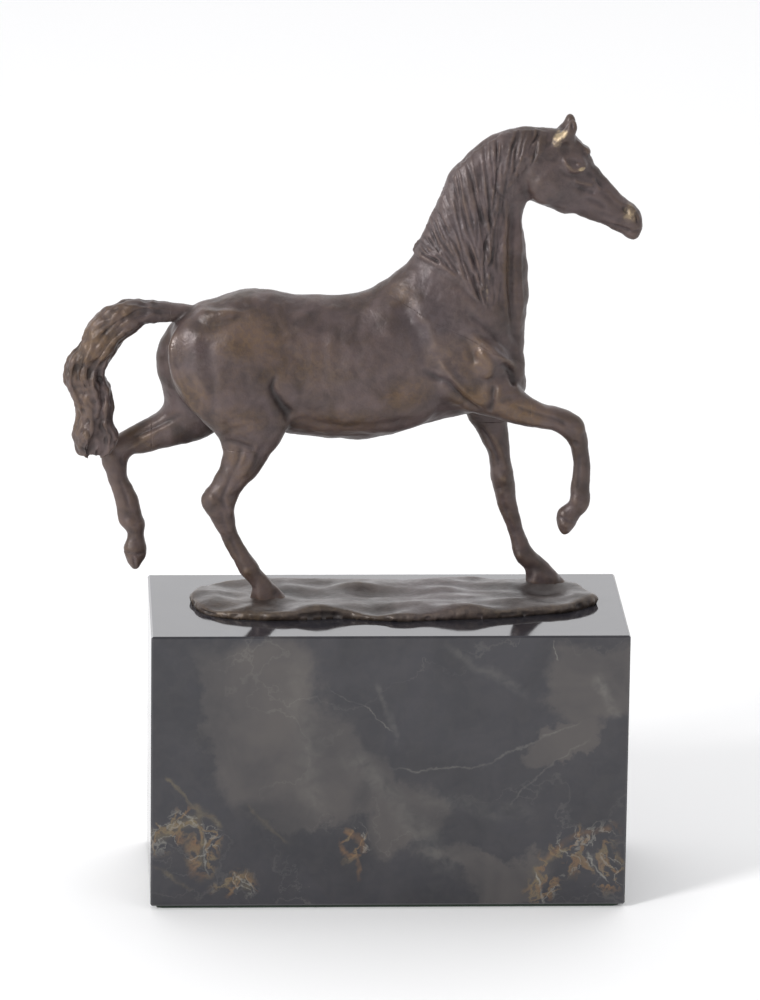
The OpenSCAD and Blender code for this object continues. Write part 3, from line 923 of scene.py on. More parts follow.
    def body(self, tail_forms: bpy.types.Mesh) -> bpy.types.Mesh:
        """Builds and works the skin of the whole horse but for its hair.

        Args:
            tail_forms: the tail, of which the root is part of the skin.

        Returns:
            The worked skin.
        """
        forms = bmesh.new()
        a = self.anatomy
        for stations in (a.torso, a.neck, a.head, a.right_foreleg, a.left_foreleg,
                         a.right_hindleg, a.left_hindleg):
            loft(forms, stations)
        self.masses(forms, a.muscles)
        mass(forms, Vector((56, -1, 93.4)), Vector((2.8, 7, 5.4)), 0)
        self.masses(forms, a.face)
        for s in (-1, 1):
            loft(forms, [(*r[:5], r[5] * s) for r in a.ear])
        skin = reskin(mesh_from(forms, "body_forms"), self.base_voxel)
        clay = Clay(skin)
        clay.relax(9, 0.5, 0.25)
        clay.swell(0.2)
        root = bmesh.new()
        root.from_mesh(tail_forms)
        Foundry.cut(root, everything(root), TAIL_SEAM.place(SEAM_MARGIN), TAIL_SEAM.outward())
        root.from_mesh(skin)
        skin = reskin(mesh_from(root, "whole_forms"), self.voxel)
        clay = Clay(skin)
        clay.relax(2)
        clay.strokes(BODY_MARKS + THIGH_MARKS + LEG_MARKS)
        clay.dabs(LEG_DABS)
        self.hand_work(clay)
        clay.roughen(0.22, 4.4, 7, below=84)
        clay.roughen(1.0, 3.6, 9, below=15)
        clay.relax(1)
        clay.finish()
        return skin

    @staticmethod
    def hand_work(clay: Clay) -> None:
        """Leaves the unevenness that the whole horse shares."""
        clay.roughen(0.7, 13, 1)
        clay.roughen(0.28, 5, 2)
        clay.roughen(0.1, 2.1, 6)

    def head(self, blank: bpy.types.Mesh) -> bpy.types.Mesh:
        """Adds the mane and forelock to the neck and works the head.

        Args:
            blank: the neck and head, with a margin past the seam.

        Returns:
            The worked neck and head.
        """
        bm = bmesh.new()
        bm.from_mesh(blank)
        tree = BVHTree.FromBMesh(bm)
        bm.clear()
        self.mane(bm, tree)
        self.forelock(bm)
        skin = reskin(join(mesh_from(bm, "hair_forms"), blank), self.fine_voxel)
        clay = Clay(skin)
        cast = clay.co.copy()
        clay.relax(2)
        clay.strokes(HEAD_MARKS)
        clay.dabs(HEAD_DABS)
        clay.strokes(self.mane_marks())
        clay.roughen(0.34, 6, 8)
        clay.roughen(0.12, 2.2, 3)
        clay.fade(cast, NECK_SEAM, self.neck_fade)
        clay.finish()
        return skin

    def tail(self, forms: bpy.types.Mesh) -> bpy.types.Mesh:
        """Works the tail's surface."""
        skin = reskin(forms, self.fine_voxel)
        clay = Clay(skin)
        clay.relax(2)
        cast = clay.co.copy()
        clay.strokes(self.tail_marks())
        clay.roughen(1.2, 7, 4)
        clay.roughen(0.5, 2.8, 5)
        clay.fade(cast, TAIL_SEAM, self.tail_fade)
        self.hand_work(clay)
        clay.relax(1)
        clay.finish()
        return skin


def marks_on(
    side: Side, rows: Sequence[tuple], flank: Side | None = None
) -> tuple[Mark, ...]:
    """Makes the marks of one side.

    Args:
        side: the way that the marked skin faces.
        rows: their paths, widths and heights.
        flank: the half of the horse that they are on, if it isn't that side's.

    Returns:
        The marks.
    """
    return tuple(Mark(*row, side, flank) for row in rows)


# The strokes that draw the muscles, both flanks alike unless a side is named
BODY_MARKS = (
    # shoulder blade, withers and breast
    Mark(((10, 127.5), (15.4, 123.7), (18.6, 117.7), (19.8, 111)), (3, 2.4), 1.0),
    Mark(((3, 131), (9, 122), (12.6, 113), (14, 105)), (3.4, 3), -0.9),
    Mark(((34, 118.8), (40.9, 113.6), (46.3, 109.2), (52.8, 103.6)), (1.4, 2), 1.6),
    Mark(((33, 127), (38, 123.6), (44, 118.4), (50.6, 111.6), (54, 106)), (2, 1.3), -1.3),
    Mark(((36.8, 112.4), (41.4, 108), (42.2, 104), (40.4, 99.4)), (1.3, 2), 1.1),
    Mark(((30, 118), (33.6, 112.6), (36, 106)), (2.4, 2), -1.0),
    Mark(((47.4, 107), (51.4, 101.4), (53.4, 95.6)), (1.3, 1.6), -1.3),
    # triceps and elbow
    Mark(((13.5, 104), (18.9, 100.1), (24.2, 98.3), (28.5, 93.5), (34, 88), (39.6, 83.6)),
         (1.5, 1.6), -1.3),
    Mark(((20.6, 108), (25, 102.6), (29.4, 96.8), (34.6, 91.4), (40, 87.6)), (1.5, 1.8), 1.0),
    Mark(((26, 114), (31.6, 106.6), (36, 99), (38.6, 93)), (2, 2), -0.5),
    Mark(((43.6, 97), (43.7, 90.4), (42.2, 84.4)), (1.1, 1.5), -1.2),
    Mark(((47.4, 97), (45.6, 92.6), (46, 88)), (1.1, 1.1), 0.5),
    # throat and windpipe
    Mark(((51.8, 174), (51.6, 160), (51.2, 149.7), (51.4, 135), (53, 121), (54.8, 110)),
         (1.6, 2.6), -2.1),
    Mark(((50.3, 174), (48.6, 163), (47.9, 150), (49, 135), (50.4, 122)), (1.5, 1.1), 1.0),
    Mark(((54.8, 168), (55, 154), (55.6, 140), (56, 124)), (0.8, 0.8), 0.5),
    # croup and loin
    Mark(((-86, 125), (-77, 122.6), (-69, 124.6), (-60, 128.4)), (2.6, 2.6), -1.1),
    Mark(((-73, 127), (-67, 129.4), (-61, 131.4), (-55, 132)), (1.8, 2.2), 0.7),
    Mark(((-53, 131), (-49, 124), (-46.4, 117)), (2.6, 2.6), -0.45),
    Mark(((-44, 129), (-28, 128.2), (-8, 129.6)), (3.4, 3.4), -0.3),
    # flank, ribs and belly
    Mark(((-43.6, 116), (-40.6, 108), (-38.4, 100), (-37.4, 92)), (3.4, 4.4), -0.95),
    Mark(((-41.5, 107.4), (-39, 103), (-36.6, 98)), (1.8, 1.8), 0.45),
    Mark(((-40, 81.4), (-27.5, 79.6), (-14.8, 78.6), (-1, 79.6), (10, 82)), (1.8, 2.4), -0.4),
    Mark(((-30, 112), (-31.6, 102), (-29, 92)), (2.2, 2.2), -0.13),
    Mark(((-21, 116), (-23.4, 104), (-21, 90)), (2.2, 2.2), -0.13),
    Mark(((-12, 118), (-14.6, 105), (-11.6, 90)), (2.2, 2.2), -0.13),
    Mark(((-2, 118), (-4.4, 106), (-1, 92)), (2.2, 2.2), -0.13),
    Mark(((8, 112), (6.6, 103), (10, 94)), (2.2, 2.2), -0.13),
)
THIGH_MARKS = (
    *marks_on(Side.RIGHT, (
        (((-48.4, 102), (-49.9, 96.4), (-48.3, 92.3), (-45.4, 88), (-43, 84.4), (-43.4, 79.6)),
         (1.2, 1.9), -1.35),
        (((-52.6, 101), (-53.6, 95), (-51, 89.6), (-48, 85.6)), (2.4, 2), 0.35),
        (((-91, 122), (-92.8, 112), (-91.4, 103.6), (-87, 93), (-81.6, 85.4), (-76, 79.6)),
         (1.1, 1.8), 0.75),
        (((-88, 112), (-86.4, 102), (-82, 92.6), (-77, 85.4)), (1.8, 1.8), -0.4),
        (((-76.4, 116), (-76.8, 107), (-75.6, 97), (-75, 88), (-77, 80.6)), (2.8, 2.8), -0.8),
        (((-62, 104), (-61, 98), (-59, 92)), (1.8, 1.8), -0.4),
        (((-71, 81.6), (-66.6, 77.8), (-60.2, 80)), (1.6, 1.6), -0.5),
        (((-69.8, 71.8), (-62.4, 70.6), (-56.6, 68.6)), (1.1, 1.1), -0.55),
        (((-63, 70), (-64.6, 61), (-68.6, 52.4), (-71.6, 45)), (1.1, 1.1), -0.85),
        (((-61, 66), (-65, 59.5), (-67.6, 53)), (0.9, 0.9), 0.5),
        (((-56, 72), (-58.6, 64), (-62.4, 56)), (1.3, 1.3), 0.5),
    )),
    *marks_on(Side.LEFT, (
        (((-50, 101), (-51.6, 96), (-50, 90), (-46, 85)), (1.2, 1.6), -1.5),
        (((-97, 106), (-90, 93), (-85, 83), (-83, 75)), (2, 2), -0.8),
        (((-66, 112), (-70, 98), (-76, 84)), (2.8, 2.8), -0.6),
        (((-88, 78.6), (-99, 71.6), (-109, 66.8)), (1.1, 1.1), -0.8),
    )),
    *marks_on(Side.RIGHT, (
        (((-88, 78.6), (-99, 71.6), (-109, 66.8)), (1.1, 1.1), -0.7),
        (((-92, 74), (-102, 67.6), (-111, 61)), (1, 1), 0.4),
    ), Side.LEFT),
)
LEG_MARKS = (
    # tendon grooves, first the fore cannons, then the hind ones
    Mark(((80.6, 66), (81, 58), (80.8, 50)), (0.8, 0.8), -0.45),
    Mark(((49.6, 41), (52, 33), (55, 24), (57.4, 16)), (0.8, 0.8), -0.45),
    Mark(((-71.4, 41), (-69.8, 34), (-66.2, 26), (-62.4, 17)), (0.8, 0.8), -0.45),
    Mark(((-114.4, 48), (-112, 42), (-110, 35)), (0.8, 0.8), -0.45),
    # coronets
    Mark(((72, 38), (76, 36.6), (81, 34.6)), (0.6, 0.5), -0.6),
    Mark(((-112.6, 15.6), (-107.6, 14.6), (-102.4, 15)), (0.6, 0.5), -0.6),
    # the raised hooves' frogs
    Mark(((-108.4, 14), (-107.6, 10), (-107.2, 7)), (0.5, 0.5), -0.5),
    Mark(((74.4, 34), (75, 31)), (0.5, 0.5), -0.5),
    # forearm and knee
    Mark(((52, 88.6), (60, 85), (70, 81.8), (76, 78.6)), (1, 1), -0.8),
    Mark(((50, 83), (60, 79.8), (70, 78)), (1.2, 1.2), 0.4),
    Mark(((40, 72), (46, 62), (48.6, 53)), (1, 1), -0.75),
    Mark(((44, 70), (49.6, 60), (51.6, 52)), (0.9, 0.9), 0.35),
)
LEG_DABS = (
    Dab((50.6, 90.6), (5.4, 3), -1.1, 10),
    Dab((80.8, 77), (3.4, 4), 0.8, 30),
    Dab((79.4, 70.6), (2, 2.4), -0.6, 30),
    Dab((50.6, 48), (3.4, 4), 0.75),
    Dab((48.4, 43.4), (2, 2.6), -0.5),
    Dab((-75.4, 46.4), (4, 2.6), 0.8, -60),
    Dab((-70.2, 44.4), (1.8, 4), -0.8, 20),
    Dab((-67, 40), (1.6, 3), 0.5, 20),
    Dab((-117.6, 58.4), (3.6, 2.8), 0.7, -60),
    Dab((-113, 55.4), (1.8, 3.6), -0.7, 20),
    Dab((79.6, 45), (2.6, 2.8), 0.5),
    Dab((58.4, 12.8), (2.8, 2.6), 0.5),
    Dab((-60, 13.6), (2.8, 2.6), 0.5),
    Dab((-109.8, 29), (3, 2.6), 0.5),
)
HEAD_MARKS = (
    Mark(((57.4, 191), (56.2, 184.4), (57, 178.4), (59.4, 175.2)), (1.6, 2.4), -0.9),
    Mark(((58, 199), (61.6, 194), (67, 192.4), (71, 193.6)), (1.6, 1.6), -0.5),
    Mark(((72.4, 193.4), (74.2, 189.8), (76.8, 188), (81.2, 188.8)), (0.75, 0.9), 1.1),
    Mark(((70.6, 189), (73, 186.6), (76.4, 185.6), (82, 185.8)), (1, 1), -0.6),
    Mark(((77, 183.6), (81, 182.2), (85.6, 181)), (1, 0.9), 0.85),
    Mark(((78.4, 180.6), (82.4, 179), (86.4, 177.6)), (1, 1.2), -0.85),
    Mark(((85, 184.6), (86.8, 181.4), (88.8, 178.6)), (0.9, 0.9), 0.8),
    Mark(((81.6, 175.8), (86.4, 174), (91.4, 171)), (1.3, 1.3), -0.75),
    Mark(((82, 188), (86, 183.6), (89.6, 179)), (0.9, 1.4), -0.6),
    Mark(((90, 180), (95, 174.6), (99, 171.6)), (1.1, 1.1), 0.5),
    Mark(((98.4, 172), (101.6, 171), (103.8, 168.4), (104.6, 164.6)), (0.7, 0.9), 0.6),
    Mark(((106, 161.2), (102.7, 160.6), (97.9, 162), (92, 163.9)), (0.6, 0.6), -0.5),
    Mark(((97.6, 164.4), (92.6, 166.8), (88, 169)), (1, 1), -0.3),
    Mark(((60, 176), (67, 172.6), (75, 171.2)), (1.4, 1.4), 0.3),
)
HEAD_DABS = (
    Dab((104.2, 166.6), (1.0, 3.4), -1.5, 8),
    Dab((99.4, 169.6), (1.6, 3), -0.7, 30),
    Dab((78, 191.4), (4.4, 2.4), -1.1, -12),
    Dab((79, 190.6), (1.7, 1.3), 0.8, -12),
    Dab((73, 197.4), (4.4, 3.4), -1.2, -40),
    Dab((82.6, 195.4), (2.6, 2.2), 0.6, -40),
    Dab((86.4, 189), (2.4, 1.6), -0.4, -45),
    Dab((66, 182), (9.4, 9.8), 0.6),
    Dab((89, 181.6), (4.6, 2), -0.4, -45),
    Dab((75.9, 207), (1.4, 2.8), -1.0, 10, Side.RIGHT),
    Dab((75.9, 207), (1.4, 2.8), -1.0, 10, Side.LEFT),
    Dab((66.8, 199.4), (3, 1.6), -0.7, 40),
)
# The strongest partings of the mane, on the right flank
MANE_MARKS = marks_on(Side.RIGHT, (
    (((34.2, 185.5), (35.7, 173.9), (36.4, 163.3), (36.1, 154.6)), (0.8, 0.6), -0.5),
    (((41.1, 163.3), (39.8, 154.6), (39.5, 147.8), (40.1, 140), (40.7, 132.2)), (0.8, 0.7),
     -0.8),
    (((26.7, 180.6), (30.7, 167.1), (34.7, 149.7), (35.8, 140), (38.8, 132.2)), (0.9, 0.7),
     -0.7),
    (((13.9, 158.4), (20.6, 150.7), (27.3, 143.9)), (0.8, 0.8), -0.6),
    (((22.4, 153.6), (28.7, 144.4)), (0.7, 0.7), -0.6),
    (((18.4, 171), (25.2, 159.4), (31.9, 147.8), (36.3, 140)), (0.9, 0.7), -0.6),
    (((31.2, 193.2), (34.3, 178.7), (40.1, 163.3), (41.2, 157.5)), (0.7, 0.8), -0.55),
    (((38.6, 199.9), (39.7, 188.4), (40.9, 176.8), (41.9, 169.1)), (0.7, 0.7), -0.5),
    (((45.1, 204.7), (44.3, 193.2), (44.5, 180.6), (48.4, 175.8)), (0.7, 0.7), -0.5),
    (((55.3, 207.6), (52.7, 198), (51.9, 188.4), (50.1, 182.6)), (0.8, 0.8), -0.5),
    (((62.8, 207.6), (61.1, 199.9), (59.3, 194.1)), (0.8, 0.8), -0.5),
    (((42.4, 158), (41.4, 148), (41.8, 138)), (1.2, 0.9), 0.4),
))
# Where the patina is thin and brown shows through
WARM = (
    Dab((-60, 118), (22, 12), 0.62, -8),
    Dab((-40, 108), (26, 14), 0.3, -8),
    Dab((-85, 94), (14, 8), 0.8, -55),
    Dab((-64, 82), (14, 8), 0.6),
    Dab((-24, 80), (26, 8), 0.45),
    Dab((8, 93), (14, 8), 0.7, 20),
    Dab((22, 111), (10, 10), 0.7),
    Dab((36, 108), (10, 12), 0.85, 20),
    Dab((34, 92), (10, 8), 0.9, 30),
    Dab((6, 134), (9, 6), 0.6),
    Dab((56, 85), (14, 6), 0.8, -10),
    Dab((-64, 62), (6, 12), 0.6, 20),
    Dab((-90, 112), (6, 8), 0.5),
    Dab((-106, 66), (12, 6), 0.4, -30),
    Dab((-124, 114), (18, 12), 0.75, 40),
    Dab((-131, 88), (7, 22), 0.6),
    Dab((-118, 126), (14, 5), 0.7),
    Dab((49, 150), (2, 26), 0.7),
)
# Painted sheen: where a cool grey-violet tint stands in for the light's sheen on it
PAINTED_SHEEN = (
    Dab((26, 166), (18, 40), 1.0, -24),
    Dab((44, 186), (18, 22), 0.7, -40),
    Dab((38, 146), (12, 20), 0.6),
    Dab((72, 184), (22, 16), 0.6, -30),
    Dab((24, 114), (24, 28), 0.9, 20),
    Dab((42, 112), (12, 14), 0.6),
    Dab((-10, 104), (26, 12), 0.35),
    Dab((-84, 108), (16, 16), 0.4),
)
# Where it is burnished
POLISH = (
    Dab((-90, 111), (5, 8), 1.0),
    Dab((-80.6, 113), (5, 8), 1.0),
    Dab((-86, 108), (14, 14), 0.5),
    Dab((40, 114), (9, 6), 0.7, -35),
    Dab((22, 116), (8, 5), 0.5, 30),
    Dab((34, 128), (10, 4), 0.4, 60),
    Dab((-66, 60), (4, 10), 0.5, 20),
    Dab((-108, 12), (4, 5), 0.8),
    Dab((76, 34), (5, 5), 0.6),
)
# Where it is rubbed through to bare metal
BARE = tuple(Dab(*row, Side.RIGHT) for row in (
    ((70.8, 202.4), (4.6, 2.1), 1.0, 42),
    ((69.6, 199.4), (2.6, 2.4), 0.6, 30),
    ((80.2, 188.6), (2, 1.1), 1.0, 14),
    ((75, 189.6), (2.6, 0.9), 0.3, -35),
    ((101.4, 168.4), (3.6, 6.4), 0.5, -10),
    ((40.6, 136), (0.9, 5), 0.3, 4),
))
# The places that the patina and the painted sheen follow, by the name they are stored under
PATINA_AND_SHEEN = {"warm": WARM, "bare": BARE, "polish": POLISH, "sheen_paint": PAINTED_SHEEN}


# ---- materials


class Sockets:
    """A short way of writing a shader node tree."""

    def __init__(self, tree: bpy.types.NodeTree) -> None:
        """Keeps the tree."""
        self.tree = tree

    def add(self, kind: str, values: dict | None = None, **settings: object) -> bpy.types.Node:
        """Adds a node.

        Args:
            kind: the node's class name without its ShaderNode prefix.
            values: inputs by name or number: a value, or a socket to link from.
            **settings: the node's own properties.

        Returns:
            The node.
        """
        node = self.tree.nodes.new("ShaderNode" + kind)
        for name, value in settings.items():
            setattr(node, name, value)
        self.feed(node, values or {})
        return node

    def feed(self, node: bpy.types.Node, values: dict) -> None:
        """Sets inputs of a node, by name or number, to values or to links from sockets."""
        for key, value in values.items():
            if isinstance(value, bpy.types.NodeSocket):
                self.tree.links.new(value, node.inputs[key])
            else:
                node.inputs[key].default_value = value

    def place_of(self, group: bpy.types.NodeTree, values: dict) -> object:
        """Places a node group, and gives its output."""
        return self.add("Group", values, node_tree=group).outputs[0]

    def object_place(self) -> object:
        """Gives the place of the shaded point in the frame."""
        return self.add("TexCoord").outputs["Object"]

    def math(
        self, operation: str, a: object, b: object = 0.0, c: object = 0.0, clamp: bool = False
    ) -> object:
        """Gives the output of a Math node."""
        node = self.add("Math", {0: a, 1: b, 2: c}, operation=operation, use_clamp=clamp)
        return node.outputs[0]

    def times(self, a: object, b: object, clamp: bool = False) -> object:
        """Gives a times b."""
        return self.math("MULTIPLY", a, b, clamp=clamp)

    def plus(self, a: object, b: object, clamp: bool = False) -> object:
        """Gives a plus b."""
        return self.math("ADD", a, b, clamp=clamp)

    def less(self, a: object, b: object) -> object:
        """Gives a less b."""
        return self.math("SUBTRACT", a, b)

    def scaled(self, value: object, gain: object, base: object) -> object:
        """Gives a value times a gain, on top of a base."""
        return self.math("MULTIPLY_ADD", value, gain, base)

    def vector(self, operation: str, a: object, b: object, output: str = "Vector") -> object:
        """Gives an output of a VectorMath node."""
        return self.add("VectorMath", {0: a, 1: b}, operation=operation).outputs[output]

    def mix(self, mask: object, a: object, b: object) -> object:
        """Gives the output of a colour Mix node."""
        return self.add("Mix", {0: mask, 6: a, 7: b}, data_type="RGBA").outputs[2]

    def ramp(self, value: object, low: float, high: float) -> object:
        """Gives a value's smooth rise from 0 at low to 1 at high."""
        values = {0: value, 1: low, 2: high}
        return self.add("MapRange", values, interpolation_type="SMOOTHSTEP").outputs[0]

    def between(self, value: object, low: float, high: float) -> object:
        """Gives a value from 0 to 1 as one from low to high."""
        return self.add("MapRange", {0: value, 3: low, 4: high}).outputs[0]

    def noise(
        self, where: object, scale: object, detail: float = 4.0, distortion: float = 0.0
    ) -> object:
        """Gives the value of a noise pattern."""
        values = {"Vector": where, "Scale": scale, "Detail": detail, "Distortion": distortion}
        return self.add("TexNoise", values).outputs["Fac"]


def new_group(
    name: str, inputs: dict[str, object], output: str
) -> tuple[bpy.types.NodeTree, bpy.types.NodeOutputs, bpy.types.NodeSocket, Sockets]:
    """Starts a shader node group that gives one value.

    Args:
        name: the group's name.
        inputs: inputs with their defaults: numbers, or triples for vectors.
        output: the output's name.

    Returns:
        The group, its input sockets, its output socket and its sockets helper.
    """
    group = bpy.data.node_groups.new(name, "ShaderNodeTree")
    for key, default in {"Where": (0.0, 0.0, 0.0), **inputs}.items():
        kind = "NodeSocketVector" if isinstance(default, tuple) else "NodeSocketFloat"
        socket = group.interface.new_socket(key, in_out="INPUT", socket_type=kind)
        socket.default_value = default
    group.interface.new_socket(output, in_out="OUTPUT", socket_type="NodeSocketFloat")
    start = group.nodes.new("NodeGroupInput")
    end = group.nodes.new("NodeGroupOutput")
    return group, start.outputs, end.inputs[output], Sockets(group)


def cloud_group() -> bpy.types.NodeTree:
    """Makes the group for soft-edged patches with a broken rim, in bronze, marble and steel."""
    inputs = {"Scale": 20.0, "Level": 0.5, "Edge": 0.1}
    group, given, end, s = new_group("cloud", inputs, "Mask")
    value = s.noise(given["Where"], given["Scale"], 6.0, 0.6)
    low = s.less(given["Level"], given["Edge"])
    high = s.plus(given["Level"], given["Edge"])
    s.tree.links.new(s.ramp(value, low, high), end)
    return group


def grain_group() -> bpy.types.NodeTree:
    """Makes the group for the fine unevenness of a cast or pressed surface."""
    coarser = 0.22
    group, given, end, s = new_group("grain", {"Scale": 300.0, "Mottle": 0.5}, "Height")
    fine = s.noise(given["Where"], given["Scale"], 3.0)
    coarse = s.noise(given["Where"], s.times(given["Scale"], coarser), 3.0)
    s.tree.links.new(s.plus(fine, s.times(coarse, given["Mottle"])), end)
    return group


def vein_group() -> bpy.types.NodeTree:
    """Makes the group for one vein: a line in the side view that fades at both ends."""
    inputs = {
        "Start": (0.0, 0.0, 0.0),
        "Along": (1.0, 0.0, 0.0),
        "Across": (0.0, 0.0, 1.0),
        "Width": 0.001,
    }
    group, given, end, s = new_group("vein", inputs, "Mask")
    arm = s.vector("SUBTRACT", given["Where"], given["Start"])
    place = s.vector("DOT_PRODUCT", arm, given["Along"], "Value")
    off = s.vector("DOT_PRODUCT", arm, given["Across"], "Value")
    near = s.less(1.0, s.ramp(s.math("ABSOLUTE", off), 0.0, given["Width"]))
    # The share of the vein's length over which it comes and goes, at either end
    first, last = (-0.08, 0.12), (0.88, 1.08)
    ends = s.times(s.ramp(place, *first), s.less(1.0, s.ramp(place, *last)))
    s.tree.links.new(s.times(near, ends), end)
    return group


@dataclass(frozen=True)
class Finish:
    """What every finish has."""

    name: str

    def start(self) -> tuple[bpy.types.Material, Sockets, bpy.types.Node]:
        """Starts a material.

        Returns:
            The material, its sockets helper and its Principled shader.
        """
        material = bpy.data.materials.new(self.name)
        material.use_nodes = True
        return material, Sockets(material.node_tree), material.node_tree.nodes["Principled BSDF"]


@dataclass(frozen=True)
class Bronze(Finish):
    """Dark brown patina over cast bronze, rubbed golden where it stands proud."""

    dark: Colour = (0.034, 0.022, 0.021, 1)
    plum: Colour = (0.094, 0.066, 0.066, 1)
    # The cool tint of the painted sheen
    sheen_paint: Colour = (0.098, 0.076, 0.082, 1)
    golden: Colour = (0.165, 0.096, 0.042, 1)
    bare: Colour = (0.40, 0.31, 0.20, 1)
    soot: Colour = (0.014, 0.010, 0.010, 1)
    roughness: float = 0.41
    warmth: float = 0.6
    glint: float = 0.12
    # The scale, level and softness of its broad clouds, its small ones and its flecks
    broad: Triple = (26, 0.5, 0.16)
    small: Triple = (90, 0.5, 0.25)
    flecks: Triple = (420, 0.52, 0.16)
    # The casting's grain: its scale, its mottle, and the strength and depth of its relief
    grain: Point = (1000, 1.4)
    relief: Point = (0.4, 0.0003)
    # How far proud places are gilded, hollow ones sooted and polished ones smoothed
    gilding: float = 0.35
    sooting: float = 0.62
    burnish: float = 0.2
    # How metallic the patina is, and how much more so the bare metal
    metallic: Point = (0.22, 0.5)
    ior: float = 1.55

    def build(self, groups: Groups) -> bpy.types.Material:
        """Builds the material from the shared groups."""
        material, s, shader = self.start()
        where = s.object_place()
        wear_and_sheen = {
            name: s.add("Attribute", attribute_name=name).outputs["Fac"]
            for name in ("proud", "hollow", *PATINA_AND_SHEEN)
        }
        broad, small, flecks = (
            s.place_of(
                groups["cloud"], {"Where": where, "Scale": scale, "Level": level, "Edge": edge}
            )
            for scale, level, edge in (self.broad, self.small, self.flecks)
        )
        grain = s.place_of(
            groups["grain"], {"Where": where, "Scale": self.grain[0], "Mottle": self.grain[1]}
        )
        # the dark coat, its plum clouds, and a cool grey-violet tint that is painted sheen where
        # the light's reflection lies
        colour = s.mix(small, self.dark, self.plum)
        sheen_mask = s.times(wear_and_sheen["sheen_paint"], s.scaled(flecks, 0.5, 0.4))
        colour = s.mix(sheen_mask, colour, self.sheen_paint)
        # the golden haze, where it is thin and on what stands proud
        thin = s.times(wear_and_sheen["warm"], s.scaled(broad, 0.35, s.scaled(flecks, 0.5, 0.25)))
        haze = s.plus(thin, s.times(broad, s.scaled(flecks, 0.16, 0.08)))
        haze = s.plus(haze, s.times(wear_and_sheen["proud"], self.gilding), clamp=True)
        colour = s.mix(s.times(haze, self.warmth), colour, self.golden)
        # the soot in its hollows, and the metal that is rubbed bare
        edge = s.times(s.ramp(wear_and_sheen["proud"], 0.7, 1.0), 0.35 * self.glint)
        rub = s.ramp(s.times(wear_and_sheen["bare"], s.scaled(flecks, 0.7, 0.5)), 0.05, 0.8)
        rub = s.plus(rub, s.times(edge, flecks), clamp=True)
        colour = s.mix(s.times(wear_and_sheen["hollow"], self.sooting), colour, self.soot)
        colour = s.mix(rub, colour, self.bare)
        rough = s.scaled(grain, 0.14, self.roughness - 0.1)
        rough = s.less(rough, s.times(wear_and_sheen["polish"], self.burnish))
        metallic, more = self.metallic
        strength, depth = self.relief
        bump = s.add("Bump", {"Height": grain, "Strength": strength, "Distance": depth})
        s.feed(shader, {
            "Base Color": colour,
            "Roughness": rough,
            "Metallic": s.scaled(rub, more, metallic),
            "Normal": bump.outputs[0],
            "IOR": self.ior,
        })
        return material


@dataclass(frozen=True)
class Vein:
    """A vein in the marble: its two ends in the side view from the block's middle, and its width.

    Lengths are in mm, and its share is how much of its colour it has.
    """

    start: Point
    end: Point
    width: float
    share: float = 1.0

    def mask(self, s: Sockets, where: object, group: bpy.types.NodeTree) -> object:
        """Gives the vein's mask."""
        run = Vector((self.end[0] - self.start[0], 0, self.end[1] - self.start[1])) * MM
        across = Vector((-run.z, 0, run.x)).normalized()
        values = {
            "Where": where,
            "Start": Vector((self.start[0], 0, self.start[1])) * MM,
            "Along": run / run.length_squared,
            "Across": across,
            "Width": self.width * MM,
        }
        return s.times(s.place_of(group, values), self.share)


@dataclass(frozen=True)
class Patch:
    """An oval patch in the marble: centre, half sizes and tilt in the side view, in mm."""

    at: Point
    radii: Point
    tilt: float = 0.0

    def field(self, s: Sockets, where: object) -> object:
        """Gives how far inside the patch a point is: 1 at its centre and 0 at its rim."""
        centre = (-self.at[0] * MM, 0, -self.at[1] * MM)
        turn = (0, math.radians(self.tilt), 0)
        size = (1 / (self.radii[0] * MM), 0, 1 / (self.radii[1] * MM))
        place = s.add("Mapping", {"Vector": where, "Location": centre}).outputs[0]
        turned = s.add("Mapping", {"Vector": place, "Rotation": turn}).outputs[0]
        sized = s.vector("MULTIPLY", turned, size)
        reach = s.add("VectorMath", {0: sized}, operation="LENGTH").outputs["Value"]
        return s.less(1.0, reach)


